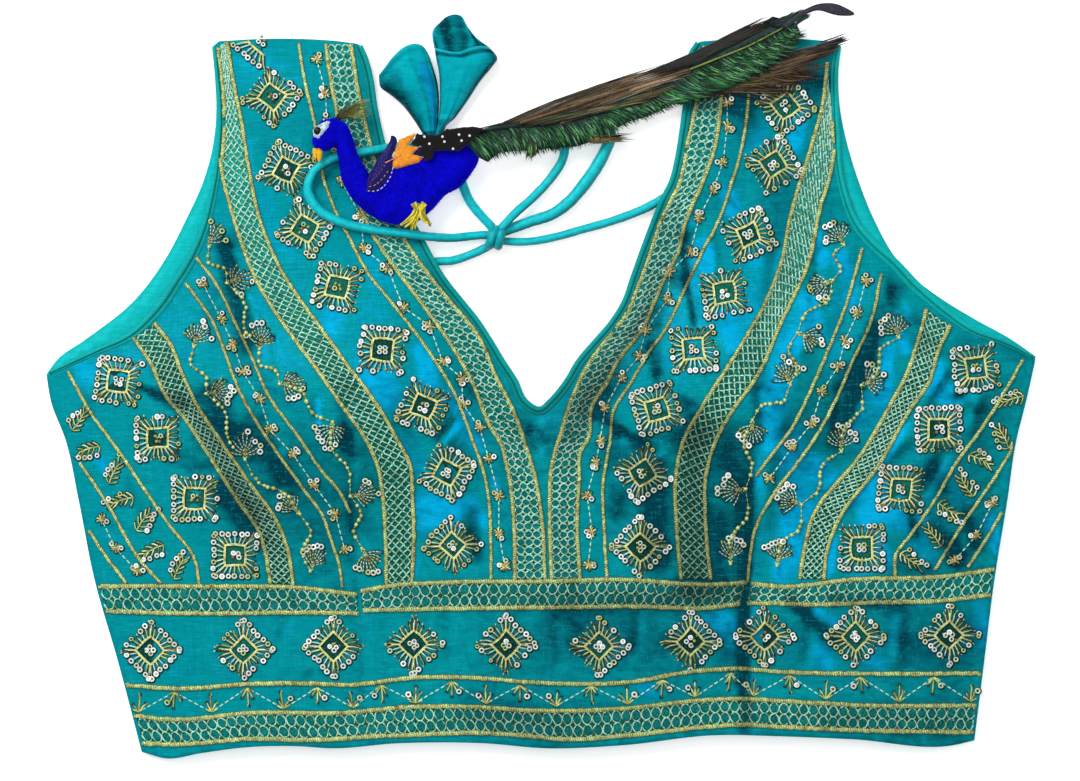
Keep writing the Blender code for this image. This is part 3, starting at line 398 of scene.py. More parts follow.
# ---------------------------------------------------------------- the front's form
SIDE_CURVES = [smooth(SIDE_LEFT, 12), smooth(SIDE_RIGHT, 12)]
ARMHOLE_CURVES = [smooth(FRONT_ARMHOLE_LEFT, 8), smooth(FRONT_ARMHOLE_RIGHT, 8)]
NECK_CURVE = smooth(NECK, 6)


def front_form(x, y):
    """Height of the front's upper face at each point x, y, with the finer creases."""
    arm = np.minimum(*[distance_to(curve, x, y) for curve in ARMHOLE_CURVES])
    side = np.minimum(*[distance_to(curve, x, y) for curve in SIDE_CURVES])
    neck = distance_to(NECK_CURVE, x, y)
    shoulder = 179.5 - y
    lift = BODY_LIFT * ease(side / BODY_LIFT_RUN)
    lift *= 1 - ease((y - 5) / 85)
    lift *= (0.3 + 0.7 * ease(arm / 40)) * (0.45 + 0.55 * ease(neck / 35))
    lift += STRAP_LIFT * ease(arm / 22) * ease(neck / 22) * ease(shoulder / 26) * ease(side / 26)
    full = ease(arm / 45) * ease((neck + 8) / 40) * ease(side / 60)
    for cx, cy, rise, wide, high in BUSTS:
        lift += rise * np.exp(-((x - cx) / wide) ** 2 - ((y - cy) / high) ** 2) * full
    for cx, cy, rise, radius in TIE_LIFTS:
        lift += rise * np.exp(-((x - cx) ** 2 + (y - cy) ** 2) / radius ** 2)
    edge = np.minimum(np.minimum(arm, neck), side)
    lift += ease(edge / 18) * ridges(FOLDS, x, y)
    for dart, shown in zip(DARTS, DART_SHOWN):
        tip = dart[-1][1]
        fade = ease((tip + 14 - y) / 40)
        lift -= DART_DEPTH * shown * fade * np.exp(-(distance_to(dart, x, y) / DART_HALF_WIDTH) ** 2)
    lift += CREASE_GAIN * ease(edge / 9) * ridges(in_frame(CREASES), x, y)
    return FRONT_REST + np.maximum(lift, 0) + CLOTH


class Heights:
    """A height formula kept on an even grid of points, read back between them."""

    def __init__(self, formula, low, high, step):
        self.low, self.step = np.array(low, float), step
        self.x = np.arange(low[0], high[0] + step, step)
        self.y = np.arange(low[1], high[1] + step, step)
        gx, gy = np.meshgrid(self.x, self.y)
        self.z = formula(gx.ravel(), gy.ravel()).reshape(gx.shape)
        self.slope_y, self.slope_x = np.gradient(self.z, step)

    def read(self, grid, x, y):
        u = np.clip((x - self.low[0]) / self.step, 0, grid.shape[1] - 1.001)
        v = np.clip((y - self.low[1]) / self.step, 0, grid.shape[0] - 1.001)
        i, j = u.astype(int), v.astype(int)
        u, v = u - i, v - j
        return ((1 - u) * (1 - v) * grid[j, i] + u * (1 - v) * grid[j, i + 1]
                + (1 - u) * v * grid[j + 1, i] + u * v * grid[j + 1, i + 1])

    def __call__(self, x, y):
        return self.read(self.z, x, y)

    def normal(self, x, y):
        return unit(np.column_stack([-self.read(self.slope_x, x, y), -self.read(self.slope_y, x, y),
                                     np.ones(len(x))]))


def patch_sum(column, x, y):
    """The painted sheen, blue (column 5), or the painted shade (column 6) of the placed patches at points x,
    y.
    """
    return ridges([(*row[:4], row[column], row[4] * GRID) for row in in_frame(SHEEN) if row[column]], x, y)


FRONT_AREA = ((-256, -190), (256, 190))
front_z = Heights(front_form, *FRONT_AREA, 1.0)
# The placed patches of painted sheen and of painted shade, kept on an even grid
sheen_map = Heights(lambda x, y: patch_sum(5, x, y), *FRONT_AREA, 1.5)
shade_map = Heights(lambda x, y: np.clip(patch_sum(6, x, y), 0, 1), *FRONT_AREA, 1.5)


# ---------------------------------------------------------------- materials
class Nodes:
    """Short calls that add shader nodes to a new material with one Principled shader."""

    def __init__(self, name, roughness=0.5, metallic=0.0, sheen=0.0, sheen_roughness=0.4, coat=0.0,
                 specular=0.5, tint=(1, 1, 1)):
        self.material = bpy.data.materials.new(name)
        self.material.use_nodes = True
        self.tree = self.material.node_tree
        self.shader = self.tree.nodes["Principled BSDF"]
        for socket, value in (("Roughness", roughness), ("Metallic", metallic),
                              ("Sheen Weight", sheen), ("Sheen Roughness", sheen_roughness),
                              ("Coat Weight", coat), ("Specular IOR Level", specular),
                              ("Specular Tint", (*tint, 1))):
            self.shader.inputs[socket].default_value = value
        self.place = self.add("ShaderNodeTexCoord").outputs["Object"]
        self.height = None

    def add(self, kind, **settings):
        node = self.tree.nodes.new(kind)
        for key, value in settings.items():
            setattr(node, key, value)
        return node

    def link(self, source, target):
        self.tree.links.new(source, target)

    def put(self, value, socket):
        if isinstance(value, bpy.types.NodeSocket):
            self.link(value, socket)
        elif hasattr(value, "__len__") and len(value) == 3 and socket.type == "RGBA":
            socket.default_value = (*value, 1)
        else:
            socket.default_value = value

    def noise(self, scale, detail=3.0, roughness=0.55, distortion=0.0, stretch=(1, 1, 1)):
        """Noise with scale cells to the metre, stretched along the axes."""
        mapping = self.add("ShaderNodeMapping")
        mapping.inputs["Scale"].default_value = stretch
        self.link(self.place, mapping.inputs["Vector"])
        texture = self.add("ShaderNodeTexNoise")
        self.link(mapping.outputs[0], texture.inputs["Vector"])
        for socket, value in (("Scale", scale), ("Detail", detail), ("Roughness", roughness),
                              ("Distortion", distortion)):
            texture.inputs[socket].default_value = value
        return texture.outputs["Fac"]

    def wave(self, scale, axis, distortion=0.0):
        texture = self.add("ShaderNodeTexWave", bands_direction=axis)
        self.link(self.place, texture.inputs["Vector"])
        texture.inputs["Scale"].default_value = scale
        texture.inputs["Distortion"].default_value = distortion
        return texture.outputs["Fac"]

    def math(self, operation, a, b=0.0, clamp=False):
        node = self.add("ShaderNodeMath", operation=operation, use_clamp=clamp)
        self.put(a, node.inputs[0])
        self.put(b, node.inputs[1])
        return node.outputs[0]

    def span(self, value, low, high, to_low=0.0, to_high=1.0):
        node = self.add("ShaderNodeMapRange")
        self.put(value, node.inputs["Value"])
        for socket, number in (("From Min", low), ("From Max", high), ("To Min", to_low),
                               ("To Max", to_high)):
            node.inputs[socket].default_value = number
        return node.outputs[0]

    def mix(self, factor, a, b, blend="MIX"):
        node = self.add("ShaderNodeMix", data_type="RGBA", blend_type=blend)
        self.put(factor, node.inputs["Factor"])
        self.put(a, node.inputs["A"])
        self.put(b, node.inputs["B"])
        return node.outputs["Result"]

    def attribute(self, name, colour=False):
        node = self.add("ShaderNodeAttribute", attribute_name=name)
        return node.outputs["Color" if colour else "Fac"]

    def colour(self, value):
        self.put(value, self.shader.inputs["Base Color"])

    def roughness(self, value):
        self.put(value, self.shader.inputs["Roughness"])

    def bump(self, height, strength, distance):
        node = self.add("ShaderNodeBump")
        node.inputs["Strength"].default_value = strength
        node.inputs["Distance"].default_value = distance
        self.link(height, node.inputs["Height"])
        if self.height is not None:
            self.link(self.height, node.inputs["Normal"])
        self.height = node.outputs[0]
        self.link(self.height, self.shader.inputs["Normal"])


def silk_weave(made, slub=1.0):
    """Bump and values of the uneven threads of raw silk, weft along X and warp along Y."""
    weft = made.noise(1.0, 4.0, 0.65, stretch=(95, 1050, 900))
    warp = made.noise(1.0, 3.0, 0.6, stretch=(1150, 120, 900))
    cloudy = made.noise(120, 4.0, 0.6, 0.8, (1, 1.5, 1))
    crumple = made.noise(95, 4.0, 0.55, 1.2)
    threads = made.math("MULTIPLY", made.wave(620, "Y", 0.6), made.wave(560, "X", 0.4))
    made.bump(crumple, 0.55, 0.0011)
    made.bump(threads, 0.12, 0.00012)
    made.bump(weft, 0.5 * slub, 0.00035)
    made.bump(warp, 0.25 * slub, 0.0002)
    uneven = made.math("ADD", made.math("MULTIPLY", weft, 0.65), made.math("MULTIPLY", warp, 0.35))
    made.roughness(made.span(cloudy, 0.3, 0.7, 0.34, 0.5))
    return uneven, cloudy


def silk_material(name, mid, blue, deep, slub=1.0):
    """Cross-dyed raw silk whose colour follows the painted sheen (blue) and painted shade values of its
    points.
    """
    made = Nodes(name, 0.42, sheen=0.06, sheen_roughness=0.35, specular=0.35, tint=(0.02, 0.5, 0.7))
    uneven, cloudy = silk_weave(made, slub)
    ragged = made.math("ADD", made.math("MULTIPLY", made.math("SUBTRACT", uneven, 0.5), 0.9),
                       made.math("MULTIPLY", made.math("SUBTRACT", cloudy, 0.5), 0.9))
    # How far the painted sheen turns the silk blue, and how far the painted shade darkens it
    turned = made.span(made.math("ADD", made.attribute("blue"), ragged), 0.20, 0.64)
    painted_shade = made.span(made.math("ADD", made.attribute("shade"), ragged), 0.02, 0.80)
    base = made.mix(turned, mid, blue)
    base = made.mix(made.span(cloudy, 0.38, 0.66, 0, 0.22), base, made.mix(0.5, mid, deep))
    base = made.mix(painted_shade, base, deep)
    base = made.mix(made.span(uneven, 0.53, 0.66, 0, 0.5), base, made.mix(0.5, base, srgb(36, 196, 206)))
    base = made.mix(made.span(uneven, 0.47, 0.34, 0, 0.55), base, made.mix(0.5, base, deep))
    made.colour(base)
    made.shader.inputs["Sheen Tint"].default_value = (*blue, 1)
    return made.material


def plain_silk(name, base, light, dark):
    """Raw silk of one colour that falls towards dark by its points' shade."""
    made = Nodes(name, 0.4, sheen=0.06, specular=0.35, tint=(0.1, 0.6, 0.6))
    uneven, cloudy = silk_weave(made, 0.8)
    tone = made.mix(made.span(uneven, 0.3, 0.7), made.mix(0.35, base, dark), light)
    tone = made.mix(0.5, tone, base)
    made.colour(made.mix(made.attribute("shade"), tone, dark))
    return made.material


def flecked(made, fleck, low, high, shadow):
    """The colour of the points, multiplied by shadow where the fleck is low."""
    tint = made.attribute("tint", colour=True)
    return made.mix(made.span(fleck, low, high), made.mix(1.0, tint, shadow, "MULTIPLY"), tint)


def fibre_material(name, noise, span, shadow, bump, **shader):
    """Thread, felt or barbs in the colour of their points. noise is scale, detail and roughness, span is
    where the dark of its flecks ends and the light begins, and bump is strength and distance."""
    made = Nodes(name, **shader)
    fleck = made.noise(*noise)
    made.colour(flecked(made, fleck, *span, shadow))
    made.bump(fleck, *bump)
    return made.material


def thread_material(name, metallic, roughness, specular=0.4):
    """Thread or fibre with fine flecks."""
    return fibre_material(name, (2600, 2.0, 0.6), (0.35, 0.6), (0.6, 0.6, 0.56), (0.4, 0.0002),
                          roughness=roughness, metallic=metallic, specular=specular)


def couched_cord():
    """Twisted gold cord: plies slant across it, from its own length and turn values."""
    made = Nodes("gold_cord", 0.42, metallic=0.2, specular=0.35, tint=(0.97, 1.0, 0.74))
    slant = made.math("ADD", made.math("MULTIPLY", made.attribute("run"), 2 * math.pi / 1.15),
                      made.math("MULTIPLY", made.attribute("turn"), 2.0))
    ply = made.math("SINE", slant)
    fleck = made.noise(1500, 3.0, 0.75)
    wear = made.noise(420, 4.0, 0.7)
    faded = made.noise(190, 3.0, 0.6)
    uneven = made.math("ADD", made.math("MULTIPLY", ply, 0.11), fleck)
    edge = made.math("ABSOLUTE", made.math("COSINE", made.attribute("turn")))
    tone = made.mix(made.span(uneven, 0.36, 0.56), made.mix(0.12, GOLD_DARK, GOLD_WARM), GOLD_LIGHT)
    # Bright flecks: painted glints
    tone = made.mix(made.span(uneven, 0.60, 0.74), tone, GOLD_BRIGHT)
    tone = made.mix(made.span(faded, 0.40, 0.60, 0.5, 0), tone, GOLD_WARM)
    tone = made.mix(made.span(wear, 0.54, 0.60, 0, 0.7), tone, srgb(112, 100, 58))
    tone = made.mix(made.span(wear, 0.45, 0.38, 0, 0.7), tone, srgb(84, 128, 96))
    # Painted shade along both sides of the round cord
    tone = made.mix(made.span(edge, 0.66, 0.97, 0, 0.8), tone, GOLD_DARK)
    made.colour(made.mix(1.0, tone, made.attribute("tint", colour=True), "MULTIPLY"))
    made.bump(uneven, 0.8, 0.0004)
    return made.material


def satin_stitch():
    """The filled ground of the trellis bands: close slanted stitches."""
    made = Nodes("ground_and_painted_shadows", 0.6, specular=0.05)
    stitches = made.noise(1.0, 3.0, 0.65, stretch=(1100, 1100, 300))
    tint = made.attribute("tint", colour=True)
    shadow = made.mix(1.0, tint, (0.35, 0.42, 0.40), "MULTIPLY")
    light = made.mix(made.span(stitches, 0.58, 0.72, 0, 0.45), tint, srgb(20, 172, 150))
    made.colour(made.mix(made.span(stitches, 0.34, 0.58), shadow, light))
    made.bump(stitches, 0.6, 0.0003)
    return made.material


def sequin_material():
    """Clear-coated foil with a faint shift of colour."""
    made = Nodes("sequin", 0.2, metallic=0.0, coat=0.5)
    shift = made.noise(900, 1.0)
    made.colour(made.mix(made.span(shift, 0.4, 0.62, 0, 0.3), made.attribute("tint", colour=True),
                         srgb(214, 240, 232)))
    return made.material


def velvet_material():
    """Royal-blue velvet under the pile, crushed here and there."""
    made = Nodes("velvet", 0.8, sheen=0.12, sheen_roughness=0.3, specular=0.03)
    pile = made.noise(1900, 3.0, 0.65)
    crushed = made.noise(160, 3.0, 0.6)
    base = made.mix(made.span(crushed, 0.35, 0.68), srgb(4, 2, 150), VELVET)
    made.colour(made.mix(made.span(pile, 0.35, 0.7, 0, 0.6), base, srgb(16, 12, 226)))
    made.shader.inputs["Sheen Tint"].default_value = (0.06, 0.06, 1.0, 1)
    made.bump(pile, 0.8, 0.0005)
    return made.material


def cord_material():
    """Satin silk tube, its seam puckers running across it, with painted shade where it turns under."""
    made = Nodes("cord", 0.36, sheen=0.05, specular=0.45, tint=(0.25, 0.9, 0.95))
    pucker = made.noise(420, 2.0, 0.5)
    weave = made.noise(2600, 2.0, 0.5)
    lit = made.mix(made.span(pucker, 0.3, 0.7), srgb(4, 160, 170), CORD)
    made.colour(made.mix(made.attribute("shade"), lit, srgb(0, 58, 64)))
    made.bump(pucker, 0.25, 0.0006)
    made.bump(weave, 0.2, 0.0002)
    made.roughness(made.span(weave, 0.3, 0.7, 0.32, 0.46))
    return made.material


def eye_material():
    """Black glass."""
    made = Nodes("eye_glass", 0.22, specular=0.25)
    made.colour(made.mix(made.noise(200), srgb(4, 4, 5), srgb(10, 10, 14)))
    return made.material


SILK = silk_material("front_silk", SILK_MID, SILK_SHEEN_BLUE, SILK_DEEP)
LINING_SILK = plain_silk("lining_silk", LINING, srgb(10, 206, 212), srgb(2, 96, 100))
PIPING_SILK = plain_silk("binding_silk", PIPING, srgb(12, 196, 198), srgb(2, 76, 76))
PETAL_SILK = silk_material("petal_silk", srgb(3, 152, 164), srgb(4, 132, 184), srgb(0, 40, 48), 0.7)
GOLD = thread_material("gold_thread", 0.35, 0.42)
GOLD_TWIST = couched_cord()
FINE = thread_material("fine_thread", 0.1, 0.5)
GROUND = satin_stitch()
SEQUIN_FOIL = sequin_material()
FELT_CLOTH = fibre_material("felt", (1500, 4.0, 0.7), (0.3, 0.7), (0.62, 0.62, 0.62), (0.6, 0.0005),
                            roughness=0.9, sheen=0.25, specular=0.2)
PILE = thread_material("pile", 0.0, 0.7, 0.05)
EYE_GLASS = eye_material()
VELVET_CLOTH = velvet_material()
TUBE_SILK = cord_material()
FEATHER = fibre_material("feather", (1800, 2.0, 0.6), (0.35, 0.6), (0.5, 0.55, 0.5), (0.5, 0.0003),
                         roughness=0.5, specular=0.25)


# ---------------------------------------------------------------- making pieces
def add_piece(name, points, faces, material, replaced=(), values=None, smooth_faces=True):
    """A piece from points in millimetres that rides on the part's one body."""
    mesh = bpy.data.meshes.new(name)
    mesh.from_pydata((np.asarray(points) * MM).tolist(), [], faces)
    for key, data in (values or {}).items():
        data = np.asarray(data, np.float32)
        if data.ndim == 2:
            layer = mesh.attributes.new(key, "FLOAT_COLOR", "POINT")
            layer.data.foreach_set("color", np.column_stack([data, np.ones(len(data))]).ravel())
        else:
            layer = mesh.attributes.new(key, "FLOAT", "POINT")
            layer.data.foreach_set("value", data)
    mesh.materials.append(material)
    if smooth_faces:
        mesh.shade_smooth()
    piece = bpy.data.objects.new(name, mesh)
    bpy.context.scene.collection.objects.link(piece)
    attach(piece, "root")
    if replaced:
        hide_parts(*replaced)
    return piece


def vary(colour, count, spread=0.12):
    """The colour at count points, each a little lighter or darker."""
    return np.clip(colour * (1 + spread * draw.standard_normal((count, 1))), 0, 1)


def tube_ways(line, sides, flat=1.0, start=0.0):
    """The directions of a tube's sides round each point of a line. flat below 1 presses the tube towards
    the cloth, and start is the turn of its first side."""
    along = unit(np.gradient(line, axis=-2))
    side = unit(np.stack([along[..., 1], -along[..., 0], np.zeros(along.shape[:-1])], axis=-1))
    up = np.cross(side, along)
    angle = (2 * np.pi * np.arange(sides) / sides + start)[:, None]
    return side[..., None, :] * np.cos(angle) + up[..., None, :] * np.sin(angle) * flat


def tube_faces(rows, sides, caps=True):
    """Faces of a tube whose points stand in rows of sides, with its two ends closed by caps."""
    index = np.arange(rows * sides).reshape(rows, sides)
    after = np.roll(index, -1, axis=1)
    faces = np.stack([index[:-1], after[:-1], after[1:], index[1:]], axis=-1).reshape(-1, 4).tolist()
    return faces + [index[0][::-1].tolist(), index[-1].tolist()] if caps else faces


class Work:
    """Points and faces gathered for one joined piece, with a colour at each point."""

    def __init__(self):
        self.points, self.faces, self.tints, self.count = [], [], [], 0
        self.more = {}         # further values of the points, by name

    def add(self, points, faces, tint):
        points = np.asarray(points, float)
        tint = np.asarray(tint, float)
        if tint.ndim == 1:
            tint = np.tile(tint, (len(points), 1))
        self.points.append(points)
        self.tints.append(tint)
        self.faces += [tuple(v + self.count for v in face) for face in faces]
        self.count += len(points)

    def tube(self, line, radius, tint, sides=5, flat=1.0, start=0.0):
        """A closed tube along a line of points x, y, z, with a colour for all, each row or each point."""
        line = np.asarray(line, float)
        radius = np.broadcast_to(radius, len(line))
        ring = line[:, None] + tube_ways(line, sides, flat, start) * radius[:, None, None]
        tint = np.asarray(tint, float)
        if tint.ndim == 2 and len(tint) == len(line):
            tint = np.repeat(tint, sides, axis=0)
        elif tint.ndim == 3:
            tint = tint.reshape(-1, 3)
        self.add(ring.reshape(-1, 3), tube_faces(len(line), sides), tint)

    def copies(self, points, faces, tints):
        """Copies of one form, whose points are copies x points x 3, with the colours of all points."""
        count, size, _ = points.shape
        start = self.count + size * np.arange(count)[:, None]
        for face in faces:
            self.faces += (start + np.array(face)).tolist()
        self.points.append(points.reshape(-1, 3))
        self.tints.append(tints)
        self.count += count * size

    def tubes(self, lines, radius, tints, sides=3, flat=0.55):
        """Closed thin tubes with the same number of points each: lines is tubes x points x 3."""
        count, rows, _ = lines.shape
        ring = lines[:, :, None] + tube_ways(lines, sides, flat, np.pi / 2) * radius[:, :, None, None]
        self.copies(ring.reshape(count, rows * sides, 3), tube_faces(rows, sides),
                    np.repeat(tints.reshape(-1, 3), sides, axis=0))

    def stamp(self, template, faces, places, frames, tints):
        """Copies of a small form: places is n x 3, frames n x 3 x 3 with the form's axes as rows."""
        points = np.einsum("kc,ncd->nkd", template, frames) + places[:, None]
        self.copies(points, faces, np.repeat(tints, len(template), axis=0))

    def piece(self, name, material, slot, replaced=(), dim=0.0):
        """One joined piece; dim is how far its colours fall where the cloth lies in shade."""
        points, tints = np.vstack(self.points), np.vstack(self.tints)
        if dim:
            tints = tints * (1 - dim * shade_map(points[:, 0], points[:, 1]))[:, None]
        values = {"tint": tints}
        values.update((key, np.concatenate(parts)) for key, parts in self.more.items())
        return add_piece(name, points, self.faces, material, replaced, values)


def on_front(points, rise):
    """Points x, y laid on the embroidered front, rise above its face."""
    points = np.asarray(points, float)
    return np.column_stack([points, front_z(points[:, 0], points[:, 1]) + rise])


def stretches(line):
    """The parts of a path that lie on the cloth."""
    keep = CLOTH_MASK(line[:, 0], line[:, 1]) > 0.5
    parts, start = [], None
    for k, on in enumerate([*keep, False]):
        if on and start is None:
            start = k
        if not on and start is not None:
            if k - start > 4:
                parts.append(line[start:k])
            start = None
    return parts


CLEAR_OF_EDGE = 0.55           # of the spacing
CLEAR_OF_SEAM = 0.4


def filled(outline, spacing, seams=(), row=DART_HALF_WIDTH):
    """Triangles over an outline, with even points inside and rows of points along the seams."""
    outline = np.asarray(outline, float)
    points = [tuple(p) for p in outline]
    edges = [(i, (i + 1) % len(points)) for i in range(len(points))]
    for seam in seams:
        for shift in (-row, -row / 2, 0, row / 2, row):
            points += [tuple(p) for p in beside(resampled(seam, spacing), shift)]
    rise = spacing * math.sqrt(3) / 2
    low, high = outline.min(axis=0), outline.max(axis=0)
    grid = []
    for j, y in enumerate(np.arange(low[1], high[1], rise)):
        row_x = np.arange(low[0] + (j % 2) * spacing / 2, high[0], spacing)
        grid.append(np.column_stack([row_x, np.full(len(row_x), y)]))
    grid = np.vstack(grid)
    grid = grid[inside(outline, grid[:, 0], grid[:, 1])]
    keep = distance_to(closed(outline), grid[:, 0], grid[:, 1]) > spacing * CLEAR_OF_EDGE
    for seam in seams:
        keep &= distance_to(seam, grid[:, 0], grid[:, 1]) > row + spacing * CLEAR_OF_SEAM
    points += [tuple(p) for p in grid[keep]]
    corners, _, faces, *_ = delaunay_2d_cdt([Vector(p) for p in points], edges, [], 1, 1e-6)
    corners = np.array([tuple(c) for c in corners])
    triangles = np.array(faces)
    a, b, c = (corners[triangles[:, k]] for k in range(3))
    turn = (b[:, 0] - a[:, 0]) * (c[:, 1] - a[:, 1]) - (b[:, 1] - a[:, 1]) * (c[:, 0] - a[:, 0])
    triangles[turn < 0] = triangles[turn < 0][:, ::-1]
    return corners, triangles


def shell(outline, top, bottom, spacing, seams=()):
    """Points and faces of a thin wall over an outline between two height functions."""
    flat, triangles = filled(outline, spacing, seams)
    x, y = flat[:, 0], flat[:, 1]
    count = len(flat)
    points = np.vstack([np.column_stack([x, y, top(x, y)]), np.column_stack([x, y, bottom(x, y)])])
    edges = np.vstack([triangles[:, [0, 1]], triangles[:, [1, 2]], triangles[:, [2, 0]]])
    known = {(a, b) for a, b in edges.tolist()}
    rim = [(a, b) for a, b in known if (b, a) not in known]
    faces = triangles.tolist() + (triangles[:, ::-1] + count).tolist()
    faces += [(b, a, a + count, b + count) for a, b in rim]
    return points, faces


# ---------------------------------------------------------------- camera, light and floor
CAMERA_DISTANCE = 4.0
FIELD_WIDTH = 0.54
SENSOR = 36.0
FLOOR_HALF = 3.0
FLOOR_DROP = 0.0002            # below the model's base
FLOOR_GLOW = 0.34
# Round lamps: name, place, size in metres, power in watts
LAMPS = [
    ("key", (-0.9, 1.0, 1.3), 1.1, 28),
    ("fill", (1.2, -0.3, 1.4), 1.2, 3),
    ("top", (0.1, 0.2, 2.2), 1.0, 9),
]


def add_camera():
    """A distant camera straight above, as in the photo."""
    camera = bpy.data.cameras.new("camera")
    camera.sensor_width = SENSOR
    camera.lens = SENSOR * CAMERA_DISTANCE / FIELD_WIDTH
    seat = bpy.data.objects.new("camera", camera)
    bpy.context.scene.collection.objects.link(seat)
    seat.location = (-0.0005, 0.004, CAMERA_DISTANCE)
    bpy.context.scene.camera = seat


def add_floor():
    """The pale surface, which glows a little so that it stays even and bright."""
    corners = [(x * FLOOR_HALF, y * FLOOR_HALF, 0) for x, y in ((-1, -1), (1, -1), (1, 1), (-1, 1))]
    mesh = bpy.data.meshes.new("floor")
    mesh.from_pydata(corners, [], [(0, 1, 2, 3)])
    floor = bpy.data.objects.new("floor", mesh)
    bpy.context.scene.collection.objects.link(floor)
    made = Nodes("floor", 0.9, specular=0.1)
    made.colour(made.mix(made.noise(40), (0.90, 0.905, 0.90), (0.94, 0.94, 0.94)))
    made.shader.inputs["Emission Color"].default_value = (1, 1, 1, 1)
    made.shader.inputs["Emission Strength"].default_value = FLOOR_GLOW
    mesh.materials.append(made.material)
    floor.location.z = -FLOOR_DROP


def add_light():
    """The lamps, each turned towards the blouse, and the even light of the room."""
    for name, place, size, power in LAMPS:
        light = bpy.data.lights.new(name, "AREA")
        light.shape = "DISK"
        light.size = size
        light.energy = power
        lamp = bpy.data.objects.new(name, light)
        bpy.context.scene.collection.objects.link(lamp)
        lamp.location = place
        lamp.rotation_euler = (-Vector(place)).to_track_quat("-Z", "Y").to_euler()
    world = bpy.data.worlds.new("world")
    bpy.context.scene.world = world
    world.use_nodes = True
    background = world.node_tree.nodes["Background"]
    background.inputs["Color"].default_value = (0.98, 0.99, 1.0, 1)
    background.inputs["Strength"].default_value = 0.55
    bpy.context.scene.view_settings.view_transform = "Standard"


# ---------------------------------------------------------------- the tie
CORD_RADIUS = 2.75
KNOT = (-22, 80.3, 5.6)
# The middle line of each stretch, the same as in the model
TIE_ROUTES = {
    "dori_left": [(-56, 67.6, 3.05), (-52, 68.4, 3.05), (-44, 69.0, 3.05), (-36.5, 71.4, 3.05),
                  (-31, 73.7, 3.05), (-27.2, 75.6, 3.05), (-22.5, 78.2, 3.6)],
    "dori_right": [(65.5, 102.4, 3.05), (61.5, 100.3, 3.05), (55.5, 96.8, 3.05),
                   (37.8, 89.5, 3.05), (19.9, 84.3, 3.05), (7.4, 80.8, 3.05), (-7, 78.4, 3.05),
                   (-15.3, 78.4, 3.05), (-20.5, 78.8, 3.05)],
    "dori_tail": [(-24.0, 81.6, 3.05), (-28.9, 81.7, 3.05), (-35, 81.2, 3.4), (-44, 80.2, 6.2),
                  (-54, 80.6, 9.9), (-67, 82.2, 10.2), (-86, 84.6, 9.6), (-101.5, 88.6, 9.4),
                  (-112, 95.3, 9.3), (-116.3, 104.3, 9.3), (-113.4, 113.0, 9.3),
                  (-104, 119.6, 9.3), (-92, 122.3, 9.1), (-82, 124.0, 8.3), (-73, 125.6, 6.0),
                  (-63.5, 127.2, 3.3), (-57.0, 131.0, 3.05)],
    "dori_tail_2": [(-22.8, 83.2, 3.05), (-25.3, 86.5, 3.05), (-30.5, 92.0, 3.05),
                    (-35.8, 99.0, 3.05), (-39.3, 107.3, 3.05), (-42.0, 116.0, 3.05),
                    (-46.2, 124.5, 3.05), (-48.6, 132.6, 3.05)],
    "dori_loop": [(-20.5, 84.2, 8.2), (-17.9, 87.1, 8.2), (-13.6, 91.8, 7.0), (-4.3, 100.2, 4.1),
                  (5.0, 110.3, 3.05), (10.6, 119.0, 3.05), (12.8, 129.0, 3.05),
                  (17.0, 138.3, 3.05), (24.5, 142.2, 3.05), (32.0, 139.0, 3.05),
                  (34.6, 131.5, 3.05), (31.8, 123.2, 3.05), (27.4, 115.2, 3.05),
                  (21.3, 106.6, 3.05), (14.6, 98.8, 3.05), (6.5, 92.6, 3.05), (-5.0, 88.5, 3.05),
                  (-16.4, 84.4, 3.05), (-20.5, 82.8, 3.05)],
}
# How much of the model's radius each stretch shows, at shares of its length
TIE_GIRTHS = {
    "dori_left": [(0, 0.80), (1, 0.78)],
    "dori_right": [(0, 0.84), (0.6, 0.76), (1, 0.72)],
    "dori_tail": [(0, 0.80), (0.2, 0.80), (0.6, 0.88), (1, 0.85)],
    "dori_tail_2": [(0, 0.85), (1, 0.88)],
    "dori_loop": [(0, 0.80), (0.3, 0.84), (0.45, 0.95), (0.58, 1.1), (0.68, 1.2), (0.8, 1.1), (1, 0.95)],
}
TIE_FACTS = {
    # name: what the far end has, and what hangs there
    "dori_left": ("knot", "knot"),
    "dori_right": ("knot", "knot"),
    "dori_tail": ("fitting", "latkan_left"),
    "dori_tail_2": ("fitting", "latkan_right"),
    "dori_loop": ("knot", None),
}


def tube_shade(way):
    """Shade of the tube where its face points way: dark below right, a thin dark line above left."""
    turned = way @ np.array([0.55, -0.83, 0.0])
    return np.clip(1.15 * np.clip(turned, 0, 1) ** 2.0 + 0.7 * np.clip(-turned, 0, 1) ** 6, 0, 1)


def silk_tube(name, route, girths, replaced):
    """A stretch of the tie: a soft tube with faint puckers and its seam ridge."""
    line = resampled(route, 1.2)
    rows, sides = len(line), 20
    girth = CORD_RADIUS * looked_up(girths, fractions(line))
    line[:, 2] -= CORD_RADIUS - girth
    angle = 2 * np.pi * np.arange(sides) / sides
    run = np.arange(rows) * 1.2
    pucker = 1 + 0.025 * np.sin(run[:, None] * 1.9 + 3 * np.sin(run[:, None] * 0.31) + angle[None])
    pucker += 0.02 * np.sin(run[:, None] * 0.47 + 1.3)
    pucker += 0.06 * np.exp(-((angle[None] - 3.9 - 0.35 * np.sin(run[:, None] * 0.05)) / 0.22) ** 2)
    radius = girth[:, None] * pucker * 0.985
    way = tube_ways(line, sides)
    ring = line[:, None] + radius[..., None] * way
    shade = tube_shade(way.reshape(-1, 3))
    # Painted shade on the tube close to the knot
    near = np.exp(-(np.hypot(ring[..., 0] - KNOT[0], ring[..., 1] - KNOT[1]) / 5).ravel() ** 2)
    piece = add_piece(name, ring.reshape(-1, 3), tube_faces(rows, sides), TUBE_SILK, replaced,
                      {"shade": np.clip(shade + 0.4 * near, 0, 1)})
    return piece, line, 2 * float(girth.mean())


